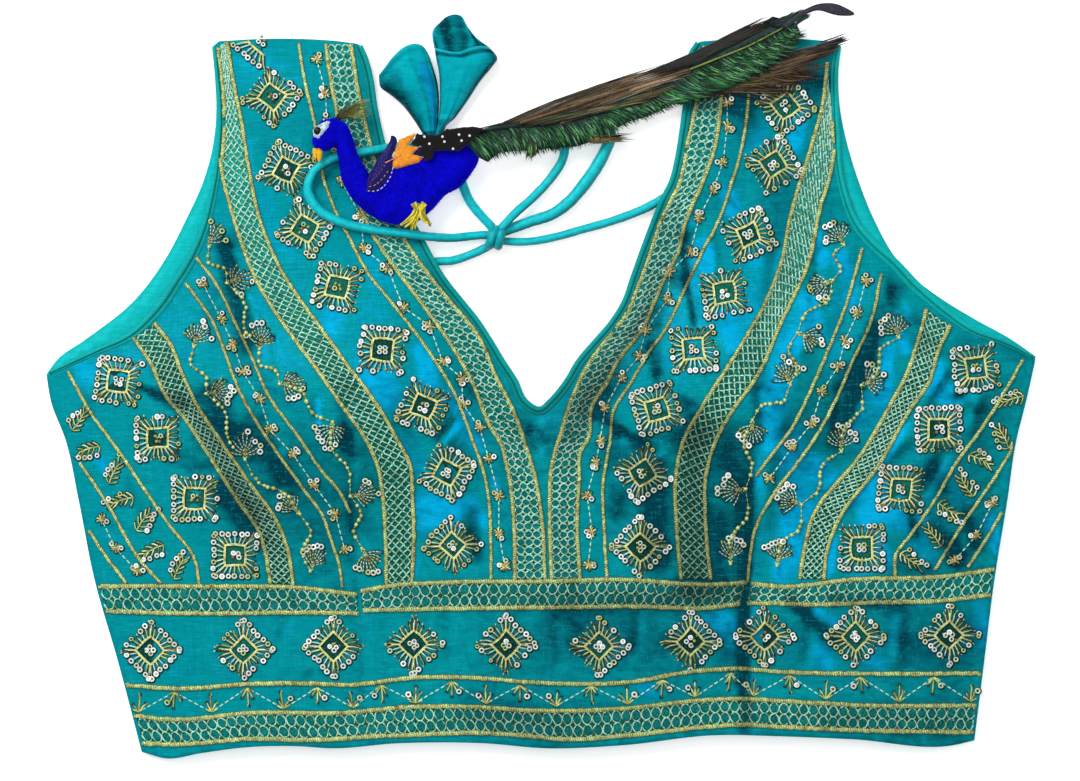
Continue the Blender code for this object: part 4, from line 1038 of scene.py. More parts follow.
def make_knot():
    """Two turns of the tube wrapped round the crossing."""
    work = Work()
    for shift, lean, high in ((-2.3, 0.45, 2.6), (1.6, 0.25, 2.8)):
        turn = np.linspace(0, 2 * np.pi, 40)
        wrap = np.column_stack([KNOT[0] + shift + lean * 4 * np.cos(turn),
                                KNOT[1] + 4.0 * np.cos(turn), KNOT[2] + high * np.sin(turn)])
        rows, sides = len(wrap), 14
        centre = np.array([KNOT[0] + shift, KNOT[1], KNOT[2]])
        along = unit(np.gradient(wrap, axis=0))
        out = wrap - centre
        out = unit(out - along * (out * along).sum(axis=1)[:, None])
        side = np.cross(along, out)
        angle = 2 * np.pi * np.arange(sides) / sides
        way = out[:, None] * np.cos(angle)[None, :, None] + side[:, None] * np.sin(angle)[None, :, None]
        ring = wrap[:, None] + 2.3 * way
        work.add(ring.reshape(-1, 3), tube_faces(rows, sides, caps=False), CORD)
        # Painted shade over the whole wrap, deeper where it faces down and to the right
        work.more.setdefault("shade", []).append(0.35 + 0.65 * tube_shade(way.reshape(-1, 3)))
    return work.piece("tie_knot", TUBE_SILK, "cord", ["knot"])


# ---------------------------------------------------------------- petals
# Sides from the foot to the mouth's corners, then the mouth's front and back edges from left to right;
# pleats are share across, depth, half-width; shades are bands of painted shade: share across, half-width,
# depth; and the bands of painted sheen are share across, half-width, strength
PETALS = {
    "latkan_left": {
        "left": [(-58.6, 131.3), (-64, 139.8), (-69.7, 147), (-75, 151.5), (-80.2, 155.5), (-81.0, 161.3)],
        "right": [(-52.6, 131.3), (-51.2, 141.8), (-50.9, 149.8), (-51.9, 158.6), (-54.0, 166.0),
                  (-56.5, 172.8)],
        "front": [(-81.0, 161.3), (-78.5, 164.4), (-73.3, 171), (-67, 175.9), (-62.5, 177.0), (-59, 175.9),
                  (-56.5, 172.8)],
        "back": [(-81.0, 161.3), (-77.9, 163.5), (-72.9, 169.8), (-66.9, 174.5), (-62.5, 175.6),
                 (-59.4, 174.8), (-56.5, 172.8)],
        "pleats": [(0.90, -1.1, 0.035), (0.62, 0.5, 0.10), (0.30, -0.5, 0.12)],
        "shades": [(0.0, 0.30, 0.85), (1.0, 0.08, 0.9), (0.64, 0.05, 0.3)],
        "sheen_bands": [(0.80, 0.13, 0.75), (0.50, 0.05, 0.2)],
        "wrap": 0.06,
    },
    "latkan_right": {
        "left": [(-53.4, 131.2), (-51.9, 137.0), (-51.0, 142.3), (-50.5, 153.3), (-50.9, 162.0),
                 (-52.6, 171.0), (-53.2, 175.0)],
        "right": [(-49.0, 132.0), (-47.0, 136.6), (-43.6, 139.4), (-41.2, 142.4), (-35.5, 150.5),
                  (-30.6, 158.0), (-24.4, 165.6), (-21.7, 169.6), (-25.5, 175.2)],
        "front": [(-53.2, 175.0), (-47.5, 173.5), (-41.2, 172.8), (-36, 174.5), (-29.7, 175.9),
                  (-25.5, 175.2)],
        "back": [(-53.2, 175.0), (-53.9, 178), (-53.9, 184.5), (-50.5, 188.0), (-47.5, 190.8), (-44.5, 191.9),
                 (-40.3, 191.6), (-36.8, 186.1), (-33.2, 181.3), (-25.5, 175.2)],
        "pleats": [(0.52, 0.35, 0.05), (0.86, -0.8, 0.07), (0.25, 0.3, 0.05)],
        "shades": [(1.0, 0.13, 0.95), (0.0, 0.04, 0.6)],
        "sheen_bands": [(0.35, 0.1, 0.12)],
        "wrap": 0.20,
    },
}
PETAL_WALL = 1.0


def bumps(rows, at):
    """The sum of soft bumps: rows of place, half-width and height."""
    return sum(height * np.exp(-((at - place) / wide) ** 2) for place, wide, height in rows)


def petal_values(up, over, within, shades, sheen_bands, wrap):
    """Painted shade and painted sheen (blue) at shares up and over a petal; within is true on its inner face.
    """
    # Painted shade: placed bands, below the wrap, under the lip's roll, and inside the mouth
    shade = bumps(shades, over) * (1 - 0.55 * ease((up - 0.72) / 0.3)) + 0.35 * (up < wrap)
    shade += 0.75 * np.exp(-((up - 0.945) / 0.02) ** 2) * (wrap > 0.1)
    shade = np.where(within, 0.55 + 0.4 * np.sin(over * 21 + 1.0) * np.sin(over * 7), shade)
    blue = bumps(sheen_bands, over) * ease(up * 8) * ease((0.92 - up) * 5)
    return {"blue": np.clip(blue, 0, 1), "shade": np.clip(shade, 0, 1)}


def make_petal(name, left, right, front, back, pleats, shades, sheen_bands, wrap):
    """A folded silk petal: a flattened cone closed at its foot, with pleats and an open mouth."""
    rows, sides = 46, 72
    share = np.linspace(0, 1, rows)
    edges = [at_share(smooth(side, 1.5), share) for side in (left, right)]
    middle, half = (edges[0] + edges[1]) / 2, (edges[1] - edges[0]) / 2
    thick = 2.7 + 3.1 * ease(share * 1.15)
    angles = 2 * np.pi * np.arange(sides) / sides
    across, upward = np.cos(angles), np.sin(angles)
    from_left = (1 + across) / 2
    lips = []
    for lip in (front, back):
        curve = smooth(lip, 0.8)
        chord = np.outer(1 - from_left, curve[0]) + np.outer(from_left, curve[-1])
        lips.append(at_share(curve, from_left) - chord)
    beyond = np.where(upward[:, None] >= 0, lips[0], lips[1])
    dents = bumps([(place, wide, depth) for place, depth, wide in pleats], from_left)

    def ring(row, wall):
        reach = 1 - wall / np.linalg.norm(half[row])
        flat = middle[row] + np.outer(across, half[row] * reach) + beyond * share[row] ** 2.5
        pleat = dents + 0.35 * np.sin(across * 9 + 2) * (1 - share[row]) ** 2
        pleat = pleat * (upward > 0) * np.clip(share[row] * 6, 0, 1) * ease((1.2 - share[row]) * 3)
        roll = bumps([(0.975, 0.022, 0.7), (0.93, 0.02, -0.5), (wrap, 0.025, 0.6)], share[row])
        z = SEAM_GAP + thick[row] + upward * (thick[row] - wall) + pleat + roll * np.clip(upward * 2, 0, 1)
        return np.column_stack([flat, z])

    outer = [ring(row, 0) for row in range(rows)]
    inner = [ring(row, PETAL_WALL) for row in range(2, rows)]
    rings = outer + inner[::-1]
    points = np.vstack(rings + [outer[0].mean(axis=0)[None], inner[0].mean(axis=0)[None]])
    foot = len(points) - 2
    faces = tube_faces(len(rings), sides, caps=False)
    last = (len(rings) - 1) * sides
    for k in range(sides):
        faces.append(((k + 1) % sides, k, foot))
        faces.append((last + k, last + (k + 1) % sides, foot + 1))
    up = np.concatenate([np.repeat(np.concatenate([share, share[2:][::-1]]), sides), [0, 0.05]])
    over = np.concatenate([np.tile(from_left, len(rings)), [0.5, 0.5]])
    within = np.arange(len(points)) >= rows * sides
    return add_piece("petal" + name[6:], points, faces, PETAL_SILK, [name],
                     petal_values(up, over, within, shades, sheen_bands, wrap))


def make_tie():
    """The knot, the five stretches of tube, and the petals on the tails' ends."""
    knot = make_knot()
    petals = {name: make_petal(name, **petal) for name, petal in PETALS.items()}
    for name, (far_end, carried) in TIE_FACTS.items():
        piece, line, girth = silk_tube("tie_" + name[5:], TIE_ROUTES[name], TIE_GIRTHS[name], [name])
        round(MM * length_of(line), 4)
        [tuple(p) for p in (MM * line)]


# ---------------------------------------------------------------- cloth
WALL = 0.9                # thickness of the visible front
BACK_TOP = 1.45           # height of the back's inner face
BINDING_STEP = 1.6
NECK_SHADE = 0.38          # painted shade of the whole neck binding; each armhole's has its own


def sheen_values(x, y):
    """Painted sheen (blue) and painted shade at x, y, from placed patches and slopes facing the key lamp."""
    n = front_z.normal(x, y)
    towards = -0.7 * n[:, 0] + 0.7 * n[:, 1]
    shade = np.clip(0.03 - 1.6 * towards + shade_map(x, y), 0, 1)
    blue = np.clip(0.10 + 0.7 * towards + sheen_map(x, y), 0, 1)
    return blue * (1 - 0.6 * shade), shade


def between(path, left, right):
    """The points of a path that are more than 3 mm inside two values of x."""
    keep = (path[:, 0] > left + 3) & (path[:, 0] < right - 3)
    return path[keep]


def panel_outline(step, armholes, armhole_inset, neck_inset, slack):
    """A panel's cut line: hem, right side, armhole and shoulder, neck, then the left side's."""
    hem, side_left, side_right = [resampled(rows, step) for rows in (HEM, SIDE_LEFT, SIDE_RIGHT)]
    arm_left = beside(resampled(armholes[0], step), armhole_inset)
    arm_right = beside(resampled(armholes[1], step), -armhole_inset)
    neck = beside(resampled(NECK, step), neck_inset)
    left = between(resampled(SHOULDER_LEFT, step), arm_left[-1, 0] - slack, neck[0, 0] + slack)
    right = between(resampled(SHOULDER_RIGHT, step), neck[-1, 0] - slack, arm_right[-1, 0] + slack)
    return np.vstack([hem, side_right[1:], arm_right, right[::-1], neck[::-1], left[::-1],
                      arm_left[::-1], side_left[1:][::-1]])


def make_front():
    """The embroidered panel with its straps."""
    outline = panel_outline(2.4, (FRONT_ARMHOLE_LEFT, FRONT_ARMHOLE_RIGHT), 0.9, 0.9, 2)
    points, faces = shell(outline, front_z, lambda x, y: front_z(x, y) - WALL, 2.3, DARTS)
    # The silk's painted sheen (blue) and painted shade
    blue, shade = sheen_values(points[:, 0], points[:, 1])
    return add_piece("front_cloth", points, faces, SILK, ["front"], {"blue": blue, "shade": shade})


def back_form(x, y):
    """The back's inner face: flat, with faint ripples."""
    ripple = 0.06 * np.sin(x * 0.11 + 2 * np.sin(y * 0.05)) * np.sin(y * 0.08 + 1)
    return BACK_TOP + ripple - 0.06


def make_back():
    """The plain panel under the front."""
    outline = panel_outline(4.0, (BACK_ARMHOLE_LEFT, BACK_ARMHOLE_RIGHT), 0, BACK_NECK_SETBACK, 0)
    points, faces = shell(outline, back_form, lambda x, y: np.zeros(len(x)), 5.0)
    return add_piece("back_cloth", points, faces, LINING_SILK, ["back"],
                     {"shade": np.zeros(len(points))})


def make_binding(name, node, edge, width, sign, strip_shade):
    """A folded strip: rolled edge, stitched groove and the flat turning beside it, with painted shade."""
    rows = len(edge)
    width = np.broadcast_to(width, rows)
    columns = [(0.0, -0.8), (-0.25, -0.3), (-0.2, 0.25), (0.12, 0.62), (0.26, 0.72), (0.40, 0.58),
               (0.5, 0.18), (0.56, 0.02), (0.64, 0.22), (0.8, 0.3), (0.96, 0.24), (1.0, 0.05)]
    lines = []
    for share, rise in columns:
        line = beside(edge, sign * np.maximum(share * width, -0.35))
        lines.append(np.column_stack([line, front_z(line[:, 0], line[:, 1]) + rise]))
    for share, drop in ((1.0, -0.05), (0.5, -1.1), (0.0, -1.15)):
        line = beside(edge, sign * share * width)
        lines.append(np.column_stack([line, front_z(line[:, 0], line[:, 1]) + drop]))
    points = np.stack(lines, axis=1).reshape(-1, 3)
    # Painted shade across the strip: deep in the stitched groove and on its underside
    groove = np.tile([0.5, 0.3, 0, 0, 0, 0.1, 0.8, 1.0, 0.35, 0.25, 0.35, 0.6, 1, 1, 1], rows)
    shade = np.clip(strip_shade + 0.8 * groove + 0.6 * shade_map(points[:, 0], points[:, 1]), 0, 1)
    return add_piece(name, points, tube_faces(rows, len(lines)), PIPING_SILK, [node],
                     {"shade": shade})


def armhole_width(edge):
    """Width of the armhole's binding at each point of its edge."""
    return looked_up(ARMHOLE_BINDING_WIDTH, fractions(edge))


def make_bindings():
    """The strips round the neck and both armholes."""
    neck = resampled(NECK, BINDING_STEP)
    pieces = [make_binding("neck_trim", "neck_binding", neck, NECK_BINDING_WIDTH, 1, NECK_SHADE)]
    # Each armhole: side, cut line, the side its strip lies on, and the painted shade of the whole strip
    armholes = (("left", FRONT_ARMHOLE_LEFT, 1, 0.26), ("right", FRONT_ARMHOLE_RIGHT, -1, 0.04))
    for side, rows, sign, strip_shade in armholes:
        edge = resampled(rows, BINDING_STEP)
        pieces.append(make_binding("armhole_trim_" + side, "armhole_binding_" + side, edge,
                                   armhole_width(edge), sign, strip_shade))
    return pieces


# ---------------------------------------------------------------- embroidery layout, on the grid
WAIST_TOP = [[(97, 586), (202, 586), (319, 589), (341, 592), (357, 594)],
             [(361, 591), (386, 586), (443, 582), (539, 581), (642, 580), (679, 583), (710, 584), (746, 582)],
             [(751, 583), (779, 586), (852, 579), (944, 576), (996, 569)]]
WAIST_BOTTOM = [[(103, 611), (202, 613), (319, 612), (359, 613)],
                [(363, 610), (402, 609), (539, 607), (642, 606), (710, 607), (740, 603)],
                [(746, 603), (779, 603), (806, 604), (875, 602), (944, 600), (994, 594)]]
FLOWER_LINE = [(124, 685), (182, 688), (253, 683), (319, 683), (351, 684), (414, 677), (473, 677),
               (539, 682), (632, 681), (683, 672), (740, 668), (779, 671), (875, 673), (980, 673)]
HEM_TOP = [(133, 715), (170, 719), (253, 712), (341, 712), (414, 706), (473, 706), (539, 710),
           (632, 707), (695, 700), (740, 698), (779, 700), (875, 705), (978, 705)]
HEM_BOTTOM = [(141, 743), (172, 744), (253, 738), (319, 739), (367, 736), (414, 734), (473, 732),
              (539, 736), (557, 738), (632, 734), (695, 727), (740, 724), (779, 726), (875, 730), (976, 732)]
# Bands and lines from the neck outwards; a band is its two edges
NECK_BANDS = [
    ([(326, 44), (331, 81), (336, 107), (347, 160), (374, 236), (399, 273), (426, 309), (452, 346),
      (472, 382), (492, 429), (499, 440), (508, 471), (514, 522), (515, 579)],
     [(351, 44), (358, 89), (370, 142), (384, 190), (406, 241), (426, 271), (452, 304), (477, 334),
      (497, 379), (514, 412), (524, 440), (536, 481), (542, 522), (545, 579)]),
    ([(700, 44), (695, 109), (683, 158), (669, 196), (655, 238), (635, 293), (618, 324), (593, 357),
      (574, 393), (559, 439), (554, 455), (550.6, 471), (549.6, 501), (551.6, 579)],
     [(726, 42), (721, 101), (714, 150), (703, 181), (684, 227), (680, 246), (661, 286), (640, 333),
      (619, 359), (606, 384), (592, 406), (588, 439), (581, 450), (579, 481), (577, 522), (580, 579)]),
]
VINE_LINES = [
    [(299, 43), (305, 81), (315, 124), (325, 183), (338, 216), (346, 231), (369, 274), (393, 304),
     (426, 347), (454, 392), (471, 435), (486, 481), (491, 542), (491, 581)],
    [(753, 42), (749, 93), (741, 150), (730, 188), (717, 224), (704, 248), (686, 286), (663, 333), (651, 349),
     (631, 382), (613, 412), (610, 440), (603, 481), (604, 532), (607, 579)],
]
SIDE_BANDS = [
    ([(218, 43), (224, 103), (221, 164), (230, 204), (244, 249), (256, 279), (276, 312), (295, 339),
      (320, 372), (347, 411), (364, 435), (378, 465), (383, 493), (386, 540), (387, 585)],
     [(227, 41), (234, 84), (241, 118), (249, 167), (260, 219), (269, 244), (282, 271), (300, 299),
      (320, 326), (346, 362), (371, 395), (386, 418), (398, 440), (410, 464), (413, 501), (414, 542),
      (412, 583)]),
    ([(827, 62), (822, 106), (810, 150), (798, 188), (787, 231), (784, 250), (766, 300), (738, 349),
      (700, 409), (683, 440), (676, 471), (676, 522), (681, 579)],
     [(836, 120), (833, 158), (827, 185), (822, 200), (807, 266), (782, 319), (757, 374), (726, 419),
      (715, 440), (706, 471), (705, 522), (710, 579)]),
]
TWIN_LINES = [
    ([(194, 255), (216, 283), (236, 323), (252, 356), (270, 396), (299, 436), (322, 470), (340, 491),
      (351, 513)],
     [(186, 283), (214, 323), (227, 356), (241, 392), (264, 432), (285, 462), (303, 487), (324, 517),
      (331, 538), (339, 562), (343, 587)]),
    ([(862, 248), (846, 303), (828, 348), (809, 391), (790, 429), (771, 454), (755, 476)],
     [(881, 274), (869, 325), (852, 360), (835, 399), (818, 431), (797, 462), (777, 488), (755, 528),
      (749, 562), (747, 582)]),
]
OUTER_BANDS = [
    ([(134, 338), (149, 359), (169, 399), (186, 419), (206, 449), (239, 501), (260, 532), (268, 562),
      (271, 583)],
     [(155, 323), (171, 344), (184, 376), (199, 407), (219, 437), (249, 481), (278, 522), (288, 548),
      (294, 585)]),
    ([(926, 309), (918, 338), (906, 373), (889, 405), (861, 453), (811, 519), (804, 547), (799, 579)],
     [(950, 325), (939, 347), (927, 384), (912, 405), (875, 469), (840, 515), (827, 547), (823, 579)]),
]
SIDE_LINES = [
    [(68, 371), (91, 412), (126, 460), (141, 483), (168, 522), (196, 560), (200, 583)],
    [(80, 462), (111, 509), (141, 560), (162, 583)],
    [(89, 530), (109, 560), (127, 583)],
    [(1023, 359), (1001, 397), (973, 439), (962, 453), (932, 503), (907, 538), (895, 554), (894, 576)],
    [(1015, 444), (989, 485), (962, 524), (934, 570)],
    [(1003, 510), (985, 540), (967, 567)],
]
# Centre x, y and turn in degrees; the waist's stand on a corner, the side panels' on a side
DIAMONDS = [
    (151, 650, 0), (244, 649, 0), (334, 646, 0), (414, 644, 0), (506, 644, 0), (599, 646, 0),
    (690, 641, 0), (764, 636, 0), (855, 636, 0), (949, 635, 0),
    (272, 97, 8), (287, 170, 18), (305, 228, 14), (338, 287, 32), (383, 350, 38), (424, 407, 22),
    (447, 472, 16), (453, 545, 4), (262, 41, 6),
    (785, 106, -8), (773, 165, -12), (748, 235, -22), (724, 293, -36), (693, 349, -40), (656, 409, -28),
    (642, 473, -12), (640, 546, 0),
    (119, 381, 38), (159, 438, 47), (196, 498, 43), (236, 555, 45),
    (975, 368, 53), (938, 429, 46), (900, 489, 40), (861, 547, 45),
]
# Fans along the beaded vines: x, y, heading of the rays in degrees from +X, rays, spread in degrees
FAN_VINES = [
    [(211, 238, 80, 8, 150), (236, 280, 20, 8, 150), (262, 340, 80, 8, 140), (290, 384, 0, 9, 150),
     (333, 431, 265, 9, 170), (360, 495, 5, 7, 110), (367, 556, 300, 8, 130)],
    [(197, 338, 75, 8, 130), (216, 392, 10, 8, 120), (246, 450, 90, 8, 160), (294, 507, 135, 8, 110),
     (314, 562, 70, 8, 110)],
    [(839, 237, 120, 8, 140), (824, 284, 205, 9, 120), (805, 337, 335, 7, 110), (786, 376, 110, 8, 150),
     (751, 429, 268, 8, 140), (736, 490, 190, 7, 120), (730, 554, 90, 8, 120)],
    [(895, 329, 110, 8, 150), (869, 382, 20, 8, 140), (840, 442, 92, 8, 140), (792, 501, 160, 8, 120),
     (778, 556, 80, 8, 120)],
]
# Small flowers of the narrow vines: x, y, heading
VINE_FLOWERS = [
    [(317, 60, 60), (326, 93, 200), (327, 121, 60), (340, 150, 200), (342, 182, 40), (361, 216, 210),
     (364, 249, 50), (388, 268, 220), (404, 308, 60), (430, 326, 230), (443, 362, 60), (462, 378, 250),
     (463, 404, 20), (480, 428, 140), (489, 459, 60), (499, 496, 140), (499, 533, 0), (505, 566, 110)],
    [(737, 70, 120), (727, 103, 130), (727, 127, 20), (723, 162, 140), (713, 190, 20), (699, 218, 140),
     (690, 252, 20), (670, 272, 150), (667, 300, 30), (646, 330, 150), (639, 356, 20), (621, 378, 20),
     (605, 408, 150), (600, 440, 340), (596, 462, 180), (587, 495, 10), (592, 531, 180), (588, 565, 30)],
    [(204, 285, 90), (222, 319, 60), (234, 344, 200), (244, 372, 80), (261, 399, 80), (271, 430, 100),
     (294, 454, 90), (315, 485, 70), (336, 513, 200), (345, 549, 0)],
    [(865, 281, 60), (857, 313, 160), (844, 341, 20), (837, 367, 120), (820, 392, 80), (811, 423, 110),
     (791, 447, 90), (769, 478, 90)],
    [(102, 519, 60), (116, 548, 60), (138, 571, 60)],
    [(992, 503, 120), (976, 535, 120), (954, 560, 120)],
]
# Leafy sprigs on the side panels: x, y, heading
SPRIGS = [(58, 392, 20), (78, 421, 60), (90, 450, 200), (115, 474, 60), (124, 501, 200), (144, 522, 50),
          (155, 550, 210), (180, 569, 60), (1013, 400, 200), (1003, 439, 120), (978, 460, 330),
          (967, 487, 120), (947, 508, 330), (933, 538, 130), (909, 558, 330)]
# Where the hem border's shoots stand, in turn on its lower and its upper line
ZIGZAG = [139, 175, 212, 248, 284, 318, 353, 382, 416, 452, 486, 520, 556, 591, 627, 662, 695, 730,
          753, 789, 825, 860, 898, 933, 970]


# ---------------------------------------------------------------- stitches
SEQUIN_SIDES = 12
SEQUIN = 1.58             # radius
SHORTEST_DASH = 0.6
PER_CELL = 8              # points of a net's thread to one ring or cell
BAND_CORD, WIDE_BAND_CORD, LINE_CORD = 1.14, 1.28, 0.95      # radii of the couched cords


def circle(sides):
    """The corners of a regular outline of 1 mm radius."""
    turn = 2 * np.pi * np.arange(sides) / sides
    return np.column_stack([np.cos(turn), np.sin(turn)])


def sequin_form():
    """A cupped ring of foil, 1 mm radius, with a small hole."""
    rings = [(0.36, 0.02), (0.68, 0.12), (1.0, 0.0)]
    points = np.vstack([np.column_stack([radius * circle(SEQUIN_SIDES), np.full(SEQUIN_SIDES, z)])
                        for radius, z in rings])
    faces = []
    for row in range(len(rings)):
        for k in range(SEQUIN_SIDES):
            after = (k + 1) % SEQUIN_SIDES
            a, b = row * SEQUIN_SIDES, ((row + 1) % len(rings)) * SEQUIN_SIDES
            faces.append((a + after, a + k, b + k, b + after))
    return points, faces


def bead_form(rows, sides):
    """A round bead of 1 mm radius."""
    points = [(0, 0, -1.0)]
    for j in range(1, rows):
        polar = math.pi * j / rows
        points += [(math.sin(polar) * math.cos(2 * math.pi * k / sides),
                    math.sin(polar) * math.sin(2 * math.pi * k / sides), -math.cos(polar))
                   for k in range(sides)]
    points.append((0, 0, 1.0))
    faces = [(0, 1 + (k + 1) % sides, 1 + k) for k in range(sides)]
    for j in range(rows - 2):
        for k in range(sides):
            a, b = 1 + j * sides, 1 + (j + 1) * sides
            faces.append((a + k, a + (k + 1) % sides, b + (k + 1) % sides, b + k))
    last = len(points) - 1
    faces += [(last, last - sides + k, last - sides + (k + 1) % sides) for k in range(sides)]
    return np.array(points), faces


def aim(degrees):
    """The unit direction at an angle from +X."""
    turn = math.radians(degrees)
    return np.array([math.cos(turn), math.sin(turn)])


def left_of(way):
    """A direction turned a quarter to its left."""
    return np.array([-way[1], way[0]])


def chain_swings(chains, phase):
    """Rows of linked rings across a band: the middle of each row, and the swings of its two threads."""
    half = 0.5 / chains
    beat = np.sin(np.pi * phase)
    bulge = half * np.sign(beat) * np.abs(beat) ** 0.62
    rows = [half + (1 - 2 * half) * chain / (chains - 1) for chain in range(chains)]
    return rows, [row + side * bulge for row in rows for side in (-1, 1)]


def wave_swings(lanes, phase):
    """The swings of mirrored waves across a band."""
    wave = np.clip(1.3 * (4 * np.abs(phase % 1 - 0.5) - 1), -1, 1)
    return [(lane + 0.5 + 0.47 * wave * (-1) ** lane) / lanes for lane in range(lanes)]


class Stitches:
    """Everything sewn on the front, gathered by kind and made into joined pieces at the end."""

    def __init__(self):
        self.gold, self.fine, self.rings, self.ground = Work(), Work(), Work(), Work()
        self.sequins, self.beads = [], []

    def couch(self, points, radius):
        """A gold cord sewn down along a line of the grid."""
        step, sides, start = 1.25, 8, -math.pi / 2
        for part in stretches(nudged(resampled(on_grid(points), step))):
            line = on_front(part, 0.40)
            rows = len(line)
            tint = np.clip(0.95 + 0.18 * draw.standard_normal((rows, 1, 1)), 0, 1.3)
            wobble = radius * (1 + 0.08 * draw.standard_normal(rows))
            line[:, :2] += 0.10 * draw.standard_normal((rows, 2))
            self.gold.tube(line, wobble, tint * np.ones((rows, sides, 3)), sides, 0.62, start)
            turn = 2 * np.pi * np.arange(sides) / sides + start
            self.gold.more.setdefault("run", []).append(np.repeat(np.arange(rows) * step, sides))
            self.gold.more.setdefault("turn", []).append(np.tile(turn, rows))

    def thread(self, points, radius, colour, rise=0.5, step=1.2, sides=4, spread=0.3):
        """A thread along points in millimetres, its middle rise above the front."""
        line = resampled(points, step)
        self.fine.tube(on_front(line, rise), radius, vary(colour, len(line), spread), sides, 0.8)

    def shadow(self, points, radius, colour=SHADOW_GREEN, rise=0.10, step=2.6):
        """A broad dark thread under a pale one, a painted shadow that shows beside it."""
        self.thread(points, radius, colour, rise, step, 3, 0.2)

    def dashes(self, points, colour=MINT, radius=0.34, dash=2.3, gap=0.9, shade=False):
        """A run of separate stitches along points in millimetres, with shade a painted shadow under each."""
        line = resampled(points, 0.4)
        run = run_of(line)
        spindle = radius * np.array([0.7, 1.1, 1.1, 0.7] if dash > 1.6 else [0.75, 1.15, 0.75])
        start = 0.0
        while start < run[-1] - SHORTEST_DASH:
            part = at_run(line, run, np.linspace(start, min(start + dash, run[-1]), len(spindle)))
            # A painted shadow: a wider dark tube, offset down and to the right
            if shade:
                self.fine.tube(on_front(part + (0.25, -0.3), 0.1), radius * 1.2, SHADOW_GREEN, 3, 0.6)
            self.fine.tube(on_front(part, 0.3), spindle, vary(colour, len(part), 0.12), 4, 0.8)
            start += dash + gap

    def sequin(self, x, y, radius=SEQUIN, bright=None):
        """A sequin at a random slight tilt, if its place lies on the cloth."""
        if self.on_cloth((x, y)):
            tilt = draw.normal(0, 0.13, 2)
            # The brightness picks the foil's colour and whether it carries a painted glint
            bright = draw.random() if bright is None else bright
            self.sequins.append((x, y, radius * draw.uniform(0.92, 1.06), tilt[0], tilt[1], bright))

    def patch(self, outline, colour, rise=0.10):
        """A small filled patch: stitches under a motif or in a ring, and the painted shadow under a sequin.
        """
        outline = np.asarray(outline, float)
        points = on_front(np.vstack([outline.mean(axis=0), outline]), rise)
        count = len(outline)
        self.ground.add(points, [(0, 1 + k, 1 + (k + 1) % count) for k in range(count)], colour)

    def bead(self, spot, radius, colour, stretch=1.0, way=(1.0, 0.0), rise=None):
        """A bead, longer along way by its stretch."""
        rise = radius * 0.8 if rise is None else rise
        self.beads.append((*spot, radius, *colour, stretch, *way, rise))

    def bugles(self, tip, way, colours=(THREAD_DARK, STITCH_AND_SHADOW_DARK, SHADOW_GREEN, GOLD_DARK, GOLD_WARM)):
        """Two short dark bugle beads side by side at the end of a ray."""
        for hand in (-0.5, 0.5):
            self.bead(tip - 0.7 * way + hand * left_of(way), 0.44, colours[draw.integers(0, len(colours))],
                      2.3, way, 0.45)

    def trellis(self, left, right, chains=0, cell=4.3, ground=TRELLIS_GROUND):
        """A filled band between two couched cords, with rows of linked rings or else a net of cells."""
        for points in (left, right):
            self.couch(points, WIDE_BAND_CORD if chains == 2 else BAND_CORD)
        reach = (length_of(on_grid(left)) + length_of(on_grid(right))) / 2
        a, b = [nudged(spread_to(on_grid(points), int(reach / 1.6))) for points in (left, right)]
        keep = (CLOTH_MASK(a[:, 0], a[:, 1]) > 0.4) & (CLOTH_MASK(b[:, 0], b[:, 1]) > 0.4)
        self.fill_band(a[keep], b[keep], ground)
        self.net(a[keep], b[keep], chains, cell)

    def fill_band(self, a, b, ground):
        """The stitched ground between a band's two sides, with painted light, paler from bust to shoulders.
        """
        shares = np.linspace(0.04, 0.96, 5)
        points = np.stack([on_front(a * (1 - s) + b * s, 0.16) for s in shares], axis=1).reshape(-1, 3)
        index = np.arange(len(points)).reshape(len(a), len(shares))
        faces = np.stack([index[:-1, :-1], index[:-1, 1:], index[1:, 1:], index[1:, :-1]], axis=-1)
        faces = faces.reshape(-1, 4)
        corner = points[index[0, 0]]
        if np.cross(points[index[0, 1]] - corner, points[index[1, 0]] - corner)[2] < 0:
            faces = faces[:, ::-1]
        lit = 0.8 * np.clip((points[:, 1:2] - 10) / 110, 0, 1)
        tint = ground * (1 - lit) + GROUND_LIT * lit
        tint = np.clip(tint * draw.uniform(0.75, 1.25, (len(points), 1)), 0, 1)
        self.ground.add(points, faces.tolist(), tint)

    def net(self, a, b, chains, cell, inset=1.0):
        """Pale threads along a band: chains of linked rings, or mirrored waves that touch at their crests."""
        middle = (a + b) / 2
        length = length_of(middle)
        repeats = max(2, round(length / cell))
        phase = np.arange(PER_CELL * repeats + 1) / PER_CELL
        run = np.linspace(0.4, length - 0.4, len(phase))
        left, right = [at_run(path, fractions(middle) * length, run) for path in (a, b)]
        wide = np.linalg.norm(right - left, axis=1)
        way = (right - left) / wide[:, None]
        clear = wide - 2 * inset

        def across(share):
            return left + way * (inset + clear * share)[:, None]

